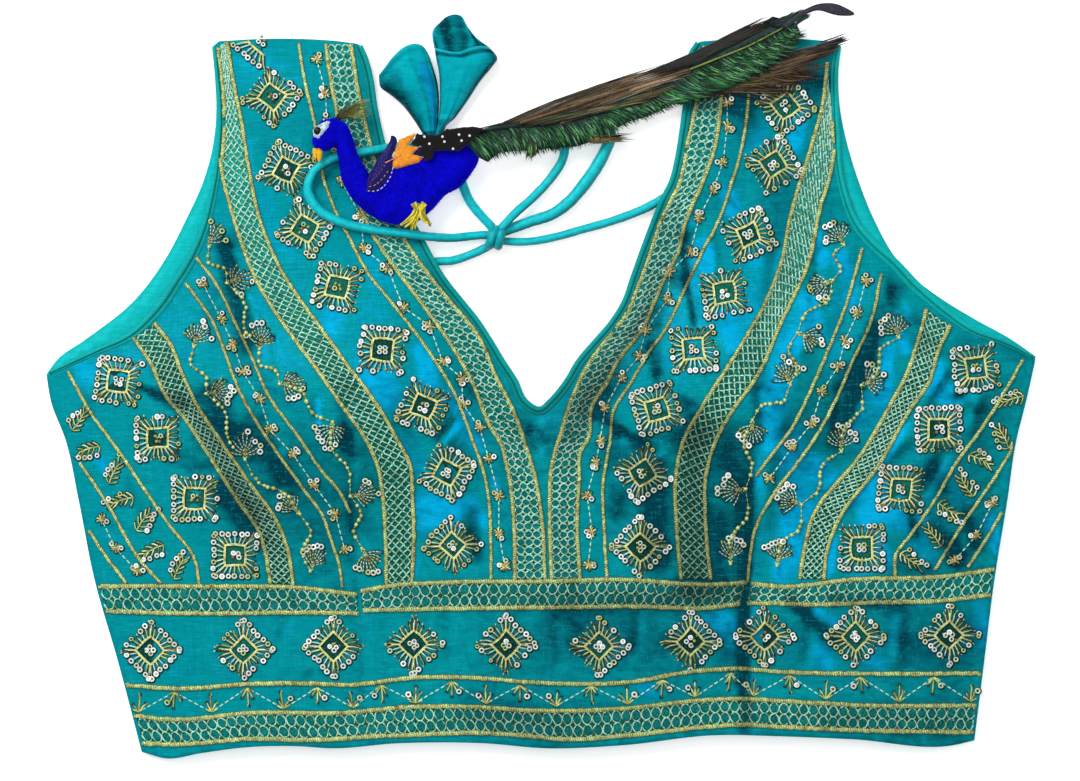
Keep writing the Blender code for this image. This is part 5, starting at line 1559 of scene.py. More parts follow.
        if chains:
            rows, swings = chain_swings(chains, phase)
        else:
            usual = float(np.median(np.linalg.norm(b - a, axis=1))) - 2 * inset
            rows, swings = [], wave_swings(max(3, round(2 * usual / cell)), phase)
        for row in rows:
            spots = across(row)
            for k in range(PER_CELL // 2, len(spots), PER_CELL):
                if self.on_cloth(spots[k]):
                    size = 0.40 * min(cell, float(clear[k]) / chains)
                    shade = draw.uniform(0.7, 1.1)
                    self.patch(spots[k] + size * circle(7), RING_GROUND * shade, 0.24)
        for swing in swings:
            line = across(swing)
            line += 0.09 * draw.standard_normal(line.shape)
            lit = np.clip(0.74 + 0.45 * draw.standard_normal(len(line)), 0.0, 1.0)[:, None]
            tint = MINT * lit + MINT_SHADE * (1 - lit)
            gold = draw.random((len(line), 1)) < 0.10
            tint = np.clip(np.where(gold, 0.5 * tint + 0.5 * GOLD_WARM, tint), 0, 1)
            self.rings.tube(on_front(line, 0.42), 0.42 * (0.8 + 0.4 * lit[:, 0]), tint, 3, 0.75)

    def diamond(self, gx, gy, turn, outer=15.0, inner=7.2):
        """A gold-thread square with fine spokes, sequins or dark leaves on them, and a cluster inside."""
        centre, = on_grid([(gx, gy)])
        u_way, v_way = aim(turn), left_of(aim(turn))

        def place(u, v):
            return centre + u * u_way + v * v_way

        corners = [np.array(c, float) for c in ((1, 0), (0, 1), (-1, 0), (0, -1))]
        reach = [inner * draw.uniform(0.93, 1.07) for _ in corners]
        heads = [place(*(corner * size)) for corner, size in zip(corners, reach)]
        lit_way, share_lit = draw.random() * 360, draw.uniform(0.35, 0.78)
        if all(self.on_cloth(head) for head in heads):
            self.patch(heads, DIAMOND_GREENS[0] if draw.random() < 0.5 else DIAMOND_GREENS[1])
        for k in range(4):
            a, b = heads[k], heads[(k + 1) % 4]
            if not self.on_cloth(a) or not self.on_cloth(b):
                continue
            out = corners[k] + corners[(k + 1) % 4]
            bowed = (a + b) / 2 + (place(*out) - centre) * draw.normal(0.1, 0.25)
            way = left_of((b - a) / np.linalg.norm(b - a))
            for shift, colour in ((0.28, GOLD_BRIGHT), (-0.28, GOLD_LIGHT)):
                over = (b - a) * 0.06
                self.thread([p + shift * way for p in (a - over, bowed, b + over)], 0.36, colour)
            self.shadow([p + (centre - p) * 0.15 for p in (a, bowed, b)], 0.3, rise=0.3, step=1.6)
            self.shadow([p + (p - centre) * 0.10 for p in (a, bowed, b)], 0.75, step=2.4)
            for along in (0.04, 0.19, 0.35, 0.50, 0.65, 0.81, 0.96):
                root = a + (b - a) * np.clip(0.5 + (along - 0.5) * 1.05, 0, 1)
                tip = place(*(outer * (corners[k] * (1 - along) + corners[(k + 1) % 4] * along)))
                self.ray(centre, root, tip + draw.normal(0, 0.28, 2), lit_way, share_lit)
            arm = place(*(corners[k] * outer)) - a
            self.thread([a, a + arm * 0.5], 0.42, GOLD_BRIGHT)
        self.cluster(place)

    def cluster(self, place):
        """Four sequins or beads and a few short bugles inside a diamond, whose axes place follows."""
        for u, v in ((-1.7, 0.1), (1.7, 0.0), (0.0, 1.7), (0.1, -1.7)):
            spot = place(u, v) + draw.normal(0, 0.25, 2)
            if draw.random() < 0.75:
                self.sequin(*spot, 1.4)
            else:
                self.bead(spot, 0.9, GOLD_WARM if draw.random() < 0.7 else COPPER)
        for n in range(5):
            spot = place(*draw.normal(0, 2.0, 2))
            if self.on_cloth(spot):
                self.bead(spot, 0.5, (THREAD_DARK, COPPER, GOLD_LIGHT)[n % 3], 1.6, aim(draw.uniform(0, 180)))

    def on_cloth(self, spot):
        """Whether a spot lies on the front, clear of its edges."""
        return bool(CLOTH_MASK(np.array([spot[0]]), np.array([spot[1]]))[0] > 0.5)

    def ray(self, centre, root, tip, lit_way, share_lit):
        """One ray of a motif: a pale stem over its dark painted shadow, ending in a sequin or dark leaves."""
        if not self.on_cloth(tip) or not self.on_cloth(root):
            return
        arm = tip - root
        way = arm / np.linalg.norm(arm)
        out = (tip - centre) / np.linalg.norm(tip - centre)
        lit = share_lit + 0.45 * float(out @ aim(lit_way)) > draw.random()
        beside_it = 0.4 * left_of(way)
        # The colour of the stem's painted shadow
        dark = SHADOW_GREEN if draw.random() < 0.5 else STITCH_AND_SHADOW_DARK
        start = root + beside_it
        self.shadow([start, start + arm * 0.95], 0.78 if lit else 0.95, dark, 0.16)
        colours = (GOLD_BRIGHT, MINT, GOLD_LIGHT, MINT) if lit else (GOLD_BRIGHT, MINT, GOLD_LIGHT, GOLD_WARM)
        self.thread([root, root + arm * 0.78], 0.42, colours[draw.integers(0, 4)], 0.38, 1.8, 3, 0.25)
        if lit:
            self.sequin(*tip, 1.5)
        elif draw.random() < 0.2:
            self.sequin(*tip, 1.25, 0.0)
        else:
            self.bugles(tip - 0.4 * way, way)
            leaf = left_of(way) * draw.choice((-1, 1))
            self.thread([tip - 1.6 * way, tip + 0.5 * way + 0.9 * leaf], 0.32, GOLD_BRIGHT, step=1.6, sides=3)

    def fan(self, gx, gy, heading, rays, spread, length=9.2):
        """A palmate flower: a gold spine of leaf stitches, fine rays, sequins on the tips of some."""
        middle, = on_grid([(gx, gy)])
        ahead = aim(heading)
        root = middle - 0.5 * length * ahead
        spine = root + 0.5 * length * ahead
        for n in range(3):
            spot = root + (spine - root) * (n / 2.6)
            for hand in (-1, 1):
                leaf = 1.5 * ahead + hand * 0.95 * left_of(ahead)
                self.thread([spot, spot + leaf], 0.42, (GOLD_LIGHT, GOLD_WARM)[n % 2])
        self.bead(root, 0.9, GOLD_LIGHT, 1.2, ahead)
        self.bead(spine, 0.7, COPPER, 1.5, ahead)
        lit_side = draw.choice((-1, 1))
        rays += 2
        for n in range(rays):
            swing = spread * (n / (rays - 1) - 0.5)
            way = aim(heading + swing)
            start = root + (spine - root) * (0.55 + 0.45 * (1 - abs(swing) / 90)) * draw.uniform(0.85, 1.05)
            reach = length * draw.uniform(0.72, 1.0) * (1 - 0.1 * abs(swing) / 90)
            tip = start + reach * way
            if not self.on_cloth(tip):
                continue
            curl = start + reach * 0.55 * aim(heading + swing * 1.12)
            beside_it = 0.45 * left_of(way)
            self.shadow([p + beside_it for p in (start, curl, tip)], 0.75, rise=0.12)
            colour = (MINT, MINT, GOLD_LIGHT, MINT)[draw.integers(0, 4)]
            self.dashes([start, curl, tip], colour, 0.34, 1.5, 0.35)
            if swing * lit_side > -0.12 * spread and draw.random() < 0.72:
                self.sequin(*(tip + way * 1.0))
            elif draw.random() < 0.75:
                self.bugles(tip + way * 0.6, way)
        return root

    def bead_string(self, points):
        """A stem of stitches with gold beads strung along its middle."""
        line = resampled(points, 0.5)
        self.dashes(points, GOLD_LIGHT, 0.25, 1.9, 0.5, shade=True)
        run = run_of(line)
        place = run[-1] * draw.uniform(0.10, 0.25)
        while place < run[-1] * 0.85:
            before, spot, after = at_run(line, run, np.array([place - 0.5, place, place + 0.5]))
            spot = spot + draw.normal(0, 0.25, 2)
            if self.on_cloth(spot):
                self.bead(spot, draw.uniform(0.85, 1.2), GOLD_LIGHT if draw.random() < 0.7 else GOLD_WARM,
                          draw.uniform(0.95, 1.25), unit(after - before))
            place += draw.uniform(2.2, 3.4)

    def flower(self, gx, gy, heading, size=1.0):
        """A small star of gold leaves with painted shadows in dark green, and one to three sequins against
        it.
        """
        centre, = on_grid([(gx, gy)])
        if not self.on_cloth(centre):
            return
        for n in range(8):
            way = aim(heading + 290 * (n / 7 - 0.5) + draw.normal(0, 7))
            reach = size * draw.uniform(2.0, 3.3)
            self.shadow([centre, centre + way * (reach + 0.5)], 0.9)
            colour = (GOLD_BRIGHT, GOLD_WARM, GOLD_LIGHT)[n % 3]
            self.thread([centre - way * 0.3, centre + way * reach], 0.5, colour, 0.45, 1.3)
        for _ in range(1 + int(draw.integers(0, 3))):
            self.sequin(*(centre + 2.9 * size * aim(heading + draw.uniform(-90, 90))), 1.4)
        for _ in range(3):
            self.bead(centre + draw.normal(0, 0.7, 2), 0.8, ROSE_GOLD if draw.random() < 0.6 else COPPER)

    def sprig(self, gx, gy, heading):
        """A bent twig with short thick leaves on both sides, a few of them ending in a sequin."""
        middle, = on_grid([(gx, gy)])
        bend = draw.choice((-1, 1)) * 14
        spine = [middle - 5.2 * aim(heading), middle + 0.8 * left_of(aim(heading)) * np.sign(bend),
                 middle + 5.0 * aim(heading + 0.5 * bend)]
        stem = spread_to(np.array(spine), 5)
        if not all(self.on_cloth(spot) for spot in stem):
            return
        self.shadow(spine, 0.8, step=2.4)
        self.thread(spine, 0.44, GOLD_LIGHT, 0.42, 1.5)
        lit_hand = draw.choice((-1, 1))
        for n in range(5):
            for hand in (-1, 1):
                lit = hand == lit_hand and draw.random() < 0.7
                turned = aim(heading + hand * (66 - 8 * n) + draw.normal(0, 7))
                way = aim(heading + hand * (46 - 7 * n))
                knee = stem[n] + turned * draw.uniform(1.5, 2.2)
                tip = knee + way * draw.uniform(1.6, 2.8)
                if not self.on_cloth(tip):
                    continue
                self.shadow([stem[n], knee, tip + 0.5 * way], 0.95, step=2.2)
                colours = (GOLD_LIGHT, GOLD_WARM, GOLD_BRIGHT, GOLD_WARM)
                self.thread([stem[n], knee, tip], 0.48, colours[draw.integers(0, 4)], 0.42, 1.5)
                if lit:
                    self.sequin(*(tip + 1.0 * way), 1.4)

    def sprout(self, root, up, height):
        """A five-leaved shoot of the hem border."""
        for swing, reach in ((-62, 0.42), (-32, 0.64), (0, 1.0), (32, 0.64), (62, 0.42)):
            way = aim(up + swing + draw.normal(0, 5))
            reach = height * reach * draw.uniform(0.85, 1.1)
            foot = root + 0.45 * left_of(way)
            self.shadow([foot, foot + way * reach], 0.42, rise=0.14)
            colour = (GOLD_WARM, GOLD_LIGHT)[draw.integers(0, 2)]
            self.thread([root, root + way * reach], 0.42, colour, 0.42, 1.6)
            if abs(swing) < 60:
                self.bugles(root + way * (reach + 0.9), way)

    def make_sequins(self):
        """One joined piece of foil discs; each row of the list holds place, size, tilts and brightness."""
        table = np.array(self.sequins)
        x, y = table[:, 0], table[:, 1]
        n = front_z.normal(x, y)
        n[:, 0] += table[:, 3]
        n[:, 1] += table[:, 4]
        n = unit(n)
        first = unit(np.cross(n, [0, 1.0, 0]))
        frames = np.stack([first, np.cross(n, first), n], axis=1) * table[:, 2][:, None, None]
        foil = Work()
        bright = table[:, 5:6]
        tint = PEARL * (0.52 + 0.48 * bright)
        # Painted glints on the brightest sequins, grey-gold and gold foil on the dullest
        tint = np.where(bright > 0.82, PEARL_LIT, tint)
        tint = np.where(bright < 0.30, 0.5 * tint + 0.4 * GOLD_LIGHT, tint)
        tint = np.where(bright < 0.10, GOLD_WARM, tint)
        # Painted shade from the placed patches
        tint = tint * (1 - 0.25 * shade_map(x, y))[:, None]
        form, faces = sequin_form()
        foil.stamp(form, faces, np.column_stack([x, y, front_z(x, y) + 0.75]), frames, np.clip(tint, 0, 1))
        return foil.piece("sequins", SEQUIN_FOIL, "sequin")

    def make_beads(self):
        """One joined piece of beads, the larger ones with more sides."""
        table = np.array(self.beads)
        x, y, size, stretch = table[:, 0], table[:, 1], table[:, 2], table[:, 6]
        ahead, zero = table[:, 7:9], np.zeros(len(table))
        frames = np.stack([np.column_stack([ahead * stretch[:, None], zero]),
                           np.column_stack([-ahead[:, 1], ahead[:, 0], zero]),
                           np.column_stack([zero, zero, zero + 1])], axis=1) * size[:, None, None]
        places = np.column_stack([x, y, front_z(x, y) + table[:, 9]])
        glass = Work()
        for (rows, sides), keep in (((4, 7), size > 0.6), ((3, 6), size <= 0.6)):
            form, faces = bead_form(rows, sides)
            glass.stamp(form, faces, places[keep], frames[keep], table[keep, 3:6])
        return glass.piece("beads", GOLD, "gold_thread")

    def finish(self):
        """Makes the joined pieces."""
        for x, y, reach, _, _, bright in self.sequins:
            # The sequin's painted shadow: a dark disc offset down and to the right
            self.patch((reach + 0.5) * circle(10) + (x + 0.2, y - 0.2), SHADOW_GREEN)
            # A sequin with a painted glint gets a pale core
            if bright > 0.9:
                self.bead((x, y), 0.6, PEARL, rise=0.72)
            else:
                core = (GOLD_DARK, THREAD_DARK, COPPER, SHADOW_GREEN)[draw.integers(0, 4)]
                self.bead((x, y), 0.42, core, rise=0.70)
        # The fine stitches hold the painted shadow threads, and the ground the painted shadows under the
        # sequins
        return [self.gold.piece("gold_cords", GOLD_TWIST, "gold_thread", dim=0.55),
                self.fine.piece("fine_stitches_and_shadows", FINE, "gold_thread", dim=0.5),
                self.rings.piece("trellis_rings", FINE, "gold_thread", dim=0.7),
                self.ground.piece("ground_and_painted_shadows", GROUND, "gold_thread", dim=0.7),
                self.make_sequins(), self.make_beads()]


def cloth_outline():
    """The edge of the front that shows between its bindings, in millimetres."""
    step = 4.0
    arms = []
    for rows, sign in ((FRONT_ARMHOLE_LEFT, 1), (FRONT_ARMHOLE_RIGHT, -1)):
        edge = resampled(rows, step)
        arms.append(beside(edge, sign * (armhole_width(edge) - 0.9)))
    neck = beside(resampled(NECK, step), NECK_BINDING_WIDTH)
    hem = resampled(HEM, step)
    sides = [resampled(SIDE_LEFT, step), resampled(SIDE_RIGHT, step)]
    return np.vstack([hem + (0, 2), sides[1][1:] - (1.2, 0), arms[1], [(146, 178.6), (80, 178.2)], neck[::-1],
                      [(-92, 178.2), (-158, 178.2)], arms[0][::-1], (sides[0][1:] + (1.2, 0))[::-1]])


CLOTH_OUTLINE = cloth_outline()
# 1 on the front, clear of its bindings and edges, and 0 elsewhere
CLOTH_MASK = Heights(lambda x, y: inside(CLOTH_OUTLINE, x, y).astype(float), *FRONT_AREA, 1.0)
NUDGE = 2.6


def nudged(line):
    """A path whose points just past the cloth's edge are moved back on to it."""
    line = line.copy()
    edge = resampled(closed(CLOTH_OUTLINE), 1.0)
    for k in np.flatnonzero(CLOTH_MASK(line[:, 0], line[:, 1]) < 0.6):
        gap = edge - line[k]
        near = np.argmin((gap ** 2).sum(axis=1))
        reach = np.linalg.norm(gap[near])
        if reach < NUDGE:
            past = not inside(CLOTH_OUTLINE, line[k:k + 1, 0], line[k:k + 1, 1])[0]
            line[k] = edge[near] + (gap[near] if past else -gap[near]) / (reach + 1e-9) * 0.8
    return line


def embroider():
    """All that is sewn on the front, from the hem's bands to the sprigs on its sides."""
    sewn = Stitches()
    for top, bottom in zip(WAIST_TOP, WAIST_BOTTOM):
        sewn.trellis(top, bottom, 2, 4.9)
    sewn.couch(FLOWER_LINE, WIDE_BAND_CORD)
    sewn.trellis(HEM_TOP, HEM_BOTTOM, 2, 4.9)
    for left, right in NECK_BANDS:
        sewn.trellis(left, right, 3, 4.0)
    for left, right in SIDE_BANDS:
        sewn.trellis(left, right)
    for left, right in OUTER_BANDS:
        sewn.trellis(left, right, cell=3.5, ground=NET_GROUND)
    for line in VINE_LINES + SIDE_LINES + [line for pair in TWIN_LINES for line in pair]:
        sewn.couch(line, LINE_CORD)
    for gx, gy, turn in DIAMONDS:
        sewn.diamond(gx, gy, turn)
    for fans in FAN_VINES:
        roots = [sewn.fan(*row) for row in fans]
        for n in range(len(roots) - 1):
            a, b = roots[n], roots[n + 1]
            across = left_of(unit(b - a))
            bow = 3.5 if n % 2 else -3.5
            sewn.bead_string([a, (a * 2 + b) / 3 + across * bow, (a + b * 2) / 3 - across * bow * 0.6, b])
    for flowers in VINE_FLOWERS:
        spots = on_grid([(gx, gy) for gx, gy, _ in flowers])
        for row in flowers:
            sewn.flower(*row)
        for a, b in zip(spots[:-1], spots[1:]):
            sewn.dashes([a + (b - a) * 0.12, b - (b - a) * 0.12])
    for row in SPRIGS:
        sewn.sprig(*row)
    roots = []
    for n, gx in enumerate(ZIGZAG):
        low = n % 2 == 0
        gy = looked_up(HEM_TOP, gx) - 4 if low else looked_up(FLOWER_LINE, gx) + 4
        root, = on_grid([(gx, gy)])
        roots.append(root)
        sewn.sprout(root, 90 if low else 270, 8.2)
        if draw.random() < 0.75:
            hand = draw.choice((-1, 1))
            sewn.sequin(root[0] + hand * 3.6, root[1] + (5 if low else -5) * draw.uniform(0.8, 1.1))
    for a, b in zip(roots[:-1], roots[1:]):
        sewn.dashes([a + (b - a) * 0.08, b - (b - a) * 0.08])
    return sewn.finish()


# ---------------------------------------------------------------- the peacock
BIRD_THICK = 7.4
BIRD_ROUND = 6.5               # how far in from the seam the bird rounds off
BIRD_SEAM_RISE = 2.2
BIRD_SEAM = 0.6
# x and the height of the underside there
BIRD_UNDERSIDE = [(-88, 12.5), (-32, 8.0)]
BIRD_OUTLINE = [(-103, 139.8), (-97.5, 137.3), (-93.7, 129.5), (-90.7, 120.3), (-86.5, 113.3),
                (-84.6, 110.3), (-80.5, 114.3), (-74.5, 119.8), (-63.5, 124.3), (-54, 127),
                (-44.5, 127.9), (-36.5, 127), (-31, 120.8), (-35, 111.8), (-41, 105),
                (-47, 101.8), (-54.5, 93.8), (-64.5, 87), (-76, 87.4), (-86, 92),
                (-93.5, 98.8), (-99, 108.3), (-101, 119.3), (-102.6, 125.4), (-106.7, 123.3),
                (-112.4, 124.6), (-114, 127.8), (-113.3, 131.8), (-111.5, 135.8), (-108, 138.8)]
FELT = 1.1                     # thickness
FELT_RISE = 7.4                # from the bird's underside to the felt's
WING_BASE = [(-86.8, 103.5), (-86, 109.5), (-82.3, 117.3), (-77.6, 124.1), (-75, 128.8),
             (-74.6, 131), (-71.9, 129.8), (-72.2, 125.7), (-73.9, 121.1), (-74.4, 115.7),
             (-76, 110.3), (-79.8, 105.8), (-83.8, 102.8)]
WING_MIDDLE = [(-73.8, 116.4), (-73.3, 121), (-71.6, 125.8), (-70.8, 128.8),
               (-62.5, 132.4), (-62.7, 130.6), (-64.1, 128.6), (-66.3, 126), (-60.6, 125.1),
               (-64, 121.7), (-58.2, 120.2), (-60.8, 117.5), (-71.4, 114.5), (-73.6, 114.9)]
WING_TIP = [(-61.9, 132.2), (-60.3, 131.4), (-51.6, 131.2), (-47, 134), (-34, 135.4),
            (-28.7, 134.5), (-36.3, 126.3), (-41, 123.3), (-53, 123.3), (-54, 119.4),
            (-58.5, 117.8), (-57.4, 120.4), (-62.6, 121.8), (-59.4, 125.5), (-65.2, 126.3),
            (-63.4, 128.5)]
WING_TIP_UNDERSIDE = [(-66, 18.05), (-47, 19.7), (-28, 18.1)]
EYE = (-111.2, 133.2)
EYE_PATCH = [(317.6, 127), (329, 122), (331, 123), (329, 129), (323, 135.5), (320, 139.6), (314.5, 138),
             (314, 131)]
PILE_GLINT = srgb(70, 70, 235)
DOT_WHITE = srgb(232, 234, 238)
CLAW_SHADE = srgb(150, 140, 30)
CREST_ROOT = (-101.4, 140.0)
CREST_BEND = math.degrees(0.32)
CREST_DARK = (srgb(50, 38, 22), srgb(76, 68, 30))
CREST_PALE = (srgb(176, 196, 74), srgb(120, 128, 52), srgb(206, 214, 120))
# Stitches on the wing: points on the grid, colour, radius, length and gap
WING_STITCHES = [
    ([(394, 168), (391, 178), (385, 187), (377, 192), (369, 192)], srgb(196, 190, 208), 0.28, 1.6, 0.7),
    ([(389, 172), (383, 180), (376, 186), (369, 188)], srgb(170, 128, 150), 0.24, 1.6, 0.7),
    ([(386, 166), (380, 175), (372, 182)], srgb(120, 90, 150), 0.2, 1.2, 1.0),
    *[([(371 + 2.4 * n, 186 - 3 * n), (378 + 2.2 * n, 168 - 2 * n), (388 + 1.2 * n, 148 - n)],
       srgb(42, 26, 128), 0.26, 3.0, 0.5) for n in range(5)],
    ([(396, 168), (404, 167), (414, 163), (424, 158)], srgb(206, 108, 34), 0.22, 1.0, 0.8),
    ([(386, 164), (394, 160), (402, 156)], srgb(226, 150, 120), 0.3, 3.0, 0.2),
]
# White knots on the wing, on the grid
DOTS = [(430, 145), (443, 138), (445, 143), (459.5, 136), (425, 138), (424, 161), (453.5, 150),
        (435, 152), (470, 137), (441, 152), (462, 142)]
# The claw's toes, on the grid
TOES = [[(419, 205), (415, 214), (408, 221), (401, 226)], [(420, 206), (416, 216), (410, 224), (405, 228)],
        [(421, 205), (417, 216), (413, 224), (412, 231)], [(422, 207), (418, 216), (416, 224), (415, 230)],
        [(421, 208), (421, 215), (425, 221), (432, 225)], [(423, 208), (424, 216), (428, 221), (431, 227)],
        [(414, 204), (417, 210), (421, 214)], [(425, 204), (420, 211), (417, 216)]]


def along_x(rows, rise=0.0):
    """A height that follows rows of x and z, plus a rise, as a function of x and y."""
    return lambda x, y: looked_up(rows, x) + rise


BIRD_RING = resampled(closed(BIRD_OUTLINE), 1.3)
# Creases of the velvet on the grid: x0, y0, x1, y1, rise, half-width
BIRD_CREASES = [(338, 130, 340, 168, -1.5, 1.5), (346, 196, 362, 226, -0.6, 3.0),
                (372, 214, 388, 196, -0.5, 2.5), (392, 206, 420, 214, 0.5, 4.0),
                (314, 152, 338, 158, 0.3, 3.0), (430, 160, 470, 150, -0.4, 2.5)]


def swell(x, y):
    """How full the bird is: 0 at its seam and 1 away from it."""
    depth = np.clip(distance_to(BIRD_RING, x, y) / BIRD_ROUND, 0, 1)
    return np.sqrt(1 - (1 - depth) ** 2)


OVER_BIRD = along_x(BIRD_UNDERSIDE, FELT_RISE)


def bird_top(x, y):
    """Height of the stuffed velvet, with its creases and faint lumps."""
    full = swell(x, y)
    z = along_x(BIRD_UNDERSIDE)(x, y) + BIRD_SEAM_RISE + BIRD_SEAM
    z = z + (BIRD_THICK - BIRD_SEAM_RISE - BIRD_SEAM) * full
    z = z + full * ridges(in_frame(BIRD_CREASES), x, y)
    return z + 0.12 * full * np.sin(x * 1.1 + 1.7 * np.sin(y * 0.7)) * np.sin(y * 0.9)


def bird_bottom(x, y):
    """Height of the bird's underside, which rises to the seam."""
    return along_x(BIRD_UNDERSIDE)(x, y) + BIRD_SEAM_RISE * (1 - swell(x, y))


def fibres(name, spots, normals, lean, length, width, tints, material):
    """Short tapered fibres on a surface, each a thin sliver with both faces."""
    count = len(spots)
    way = unit(normals + lean + 0.35 * draw.standard_normal((count, 3)))
    side = unit(np.cross(way, draw.standard_normal((count, 3))))
    reach = length * draw.uniform(0.6, 1.3, (count, 1))
    points = np.stack([spots - side * width, spots + side * width, spots + way * reach], axis=1)
    index = 3 * np.arange(count)[:, None]
    faces = np.vstack([index + (0, 1, 2), index + (2, 1, 0)]).tolist()
    return add_piece(name, points.reshape(-1, 3), faces, material,
                     values={"tint": np.repeat(tints, 3, axis=0)}, smooth_faces=False)


def scatter(outline, count, clear=0.0):
    """Random points inside an outline, at least clear from its edge."""
    outline = np.asarray(outline, float)
    low, high = outline.min(axis=0), outline.max(axis=0)
    spots = draw.uniform(low, high, (count * 4, 2))
    spots = spots[inside(outline, spots[:, 0], spots[:, 1])]
    if clear:
        spots = spots[distance_to(closed(outline), spots[:, 0], spots[:, 1]) > clear]
    return spots[:count]


def felt(name, outline, under, thick, tint, node):
    """A felt cut-out with softened, slightly fuzzy edges."""
    even = divided(np.array(outline, float), 0.8)
    even = anticlockwise(even + 0.10 * draw.standard_normal(even.shape))
    edge = closed(even)

    def top(x, y):
        round_off = 1 - np.clip(distance_to(edge, x, y) / 1.1, 0, 1)
        return under(x, y) + thick - 0.75 * thick * round_off ** 2 * 0.8

    points, faces = shell(even, top, under, 1.1)
    tints = np.clip(tint * (1 + 0.1 * draw.standard_normal((len(points), 1))), 0, 1)
    piece = add_piece(name, points, faces, FELT_CLOTH, [node] if node else (), {"tint": tints})
    spots = scatter(even, 900, 0.3)
    base = np.column_stack([spots, top(spots[:, 0], spots[:, 1]) - 0.05])
    lean = 0.8 * draw.standard_normal((len(base), 3)) * (1, 1, 0.1)
    tints = np.clip(tint * draw.uniform(0.8, 1.5, (len(base), 1)) + 0.01, 0, 1)
    fibres(name + "_fuzz", base, np.array([0, 0, 0.5]), lean, 0.7, 0.07, tints, FELT_CLOTH)
    return piece


def make_velvet():
    """The stuffed body with its pile above and below."""
    ring = BIRD_RING[:-1]
    points, faces = shell(ring, bird_top, bird_bottom, 1.5)
    body = add_piece("peacock", points, faces, VELVET_CLOTH, ["peacock_body"])
    spots = scatter(ring, 15000)
    x, y = spots[:, 0], spots[:, 1]
    z = bird_top(x, y)
    slope_x = (bird_top(x + 0.3, y) - z) / 0.3
    slope_y = (bird_top(x, y + 0.3) - z) / 0.3
    normals = unit(np.column_stack([-slope_x, -slope_y, np.ones(len(x))]))
    tints = np.clip(VELVET * draw.uniform(0.75, 1.35, (len(x), 1)), 0, 1)
    tints[draw.random(len(x)) < 0.02] = PILE_GLINT
    lean = np.array([0.5, -0.35, 0])
    fibres("peacock_pile", np.column_stack([x, y, z]), normals, lean, 1.0, 0.09, tints, PILE)
    spots = scatter(ring, 5000)
    x, y = spots[:, 0], spots[:, 1]
    base = np.column_stack([x, y, bird_bottom(x, y)])
    fibres("peacock_pile_below", base, np.array([0, 0, -1.0]), np.array([0.9, -0.4, 0]), 0.8, 0.09,
           np.tile(VELVET, (len(x), 1)), PILE)


def make_wing():
    """The wing's three felt cut-outs and the eye's green-blue patch."""
    leaf = resampled(closed(WING_BASE), 1.5)[:-1]
    base = felt("wing_leaf", leaf, OVER_BIRD, FELT, NAVY, "wing_base")
    middle = felt("wing_flame", WING_MIDDLE, OVER_BIRD, FELT, ORANGE, "wing_middle")
    tip = felt("wing_dark", WING_TIP, along_x(WING_TIP_UNDERSIDE), FELT, BLACK, "wing_tip")
    felt("eye_patch", on_grid(EYE_PATCH), lambda x, y: bird_top(x, y) - 0.25, 0.8, SKY, None)


def make_wing_stitches():
    """Hand stitches over the wing's felt, and white knots on its dark tip."""
    threads = Work()
    over_wing = along_x(BIRD_UNDERSIDE, FELT_RISE + FELT)
    for points, colour, radius, dash, gap in WING_STITCHES:
        line = resampled(on_grid(points), 0.4)
        run = run_of(line)
        start = 0.0
        while start < run[-1]:
            part = line[(run >= start) & (run <= start + dash)]
            if len(part) > 1:
                z = over_wing(part[:, 0], part[:, 1]) + 0.15
                threads.tube(np.column_stack([part, z]), radius, vary(colour, len(part)), 5, 0.8)
            start += dash + gap
    over_tip = along_x(WING_TIP_UNDERSIDE, FELT)
    dot, faces = bead_form(6, 10)
    for x, y in on_grid(DOTS):
        if inside(WING_TIP, np.array([x]), np.array([y]))[0]:
            threads.add(dot * (0.68, 0.68, 0.45) + (x, y, over_tip(x, y) + 0.2), faces, DOT_WHITE)
    threads.piece("wing_stitches", FINE, "gold_thread")


def make_claw():
    """Toes of yellow stitches, three side by side for each."""
    claw = Work()
    for points in TOES:
        line = resampled(on_grid(points), 0.9)
        share = np.linspace(0, 1, len(line))
        for shift in (-0.95, 0, 0.95):
            path = beside(line, shift * (1 - 0.75 * share))
            z = OVER_BIRD(path[:, 0], path[:, 1]) + 0.5 + 0.5 * np.sin(np.pi * share) - 0.1 * abs(shift)
            colour = YELLOW if draw.random() < 0.7 else CLAW_SHADE
            claw.tube(np.column_stack([path, z]), 0.68 * (1 - 0.6 * share), vary(colour, len(line), 0.18),
                      6, 0.9)
    claw.piece("claw_stitches", FELT_CLOTH, "felt_yellow", ["claw"])


def make_beak():
    """Two tapered halves that open slightly downwards."""
    beak = Work()
    for shift, tip in ((-0.9, (-112.6, 119.0)), (1.1, (-110.6, 117.8))):
        line = resampled([(-111.3 + shift, 124.6), (-111.4 + shift, 121.8), tip], 0.5)
        share = np.linspace(0, 1, len(line))
        z = along_x(BIRD_UNDERSIDE)(line[:, 0], 0) + 3.0 - 0.3 * share
        radius = 1.55 * np.sqrt(np.clip(1.02 - share ** 2.2, 0, 1))
        beak.tube(np.column_stack([line, z]), radius, vary(BEAK_YELLOW, len(line), 0.08), 12, 0.95)
    beak.piece("beak_halves", FELT_CLOTH, "felt_yellow", ["beak"])


def make_eye():
    """A black glass bead."""
    form, faces = bead_form(12, 24)
    eye = Work()
    eye.add(form * (2.0, 2.0, 1.5) + (*EYE, BIRD_UNDERSIDE[0][1] + 6.4), faces, BLACK)
    eye.piece("eye_bead", EYE_GLASS, "eye", ["eye"])


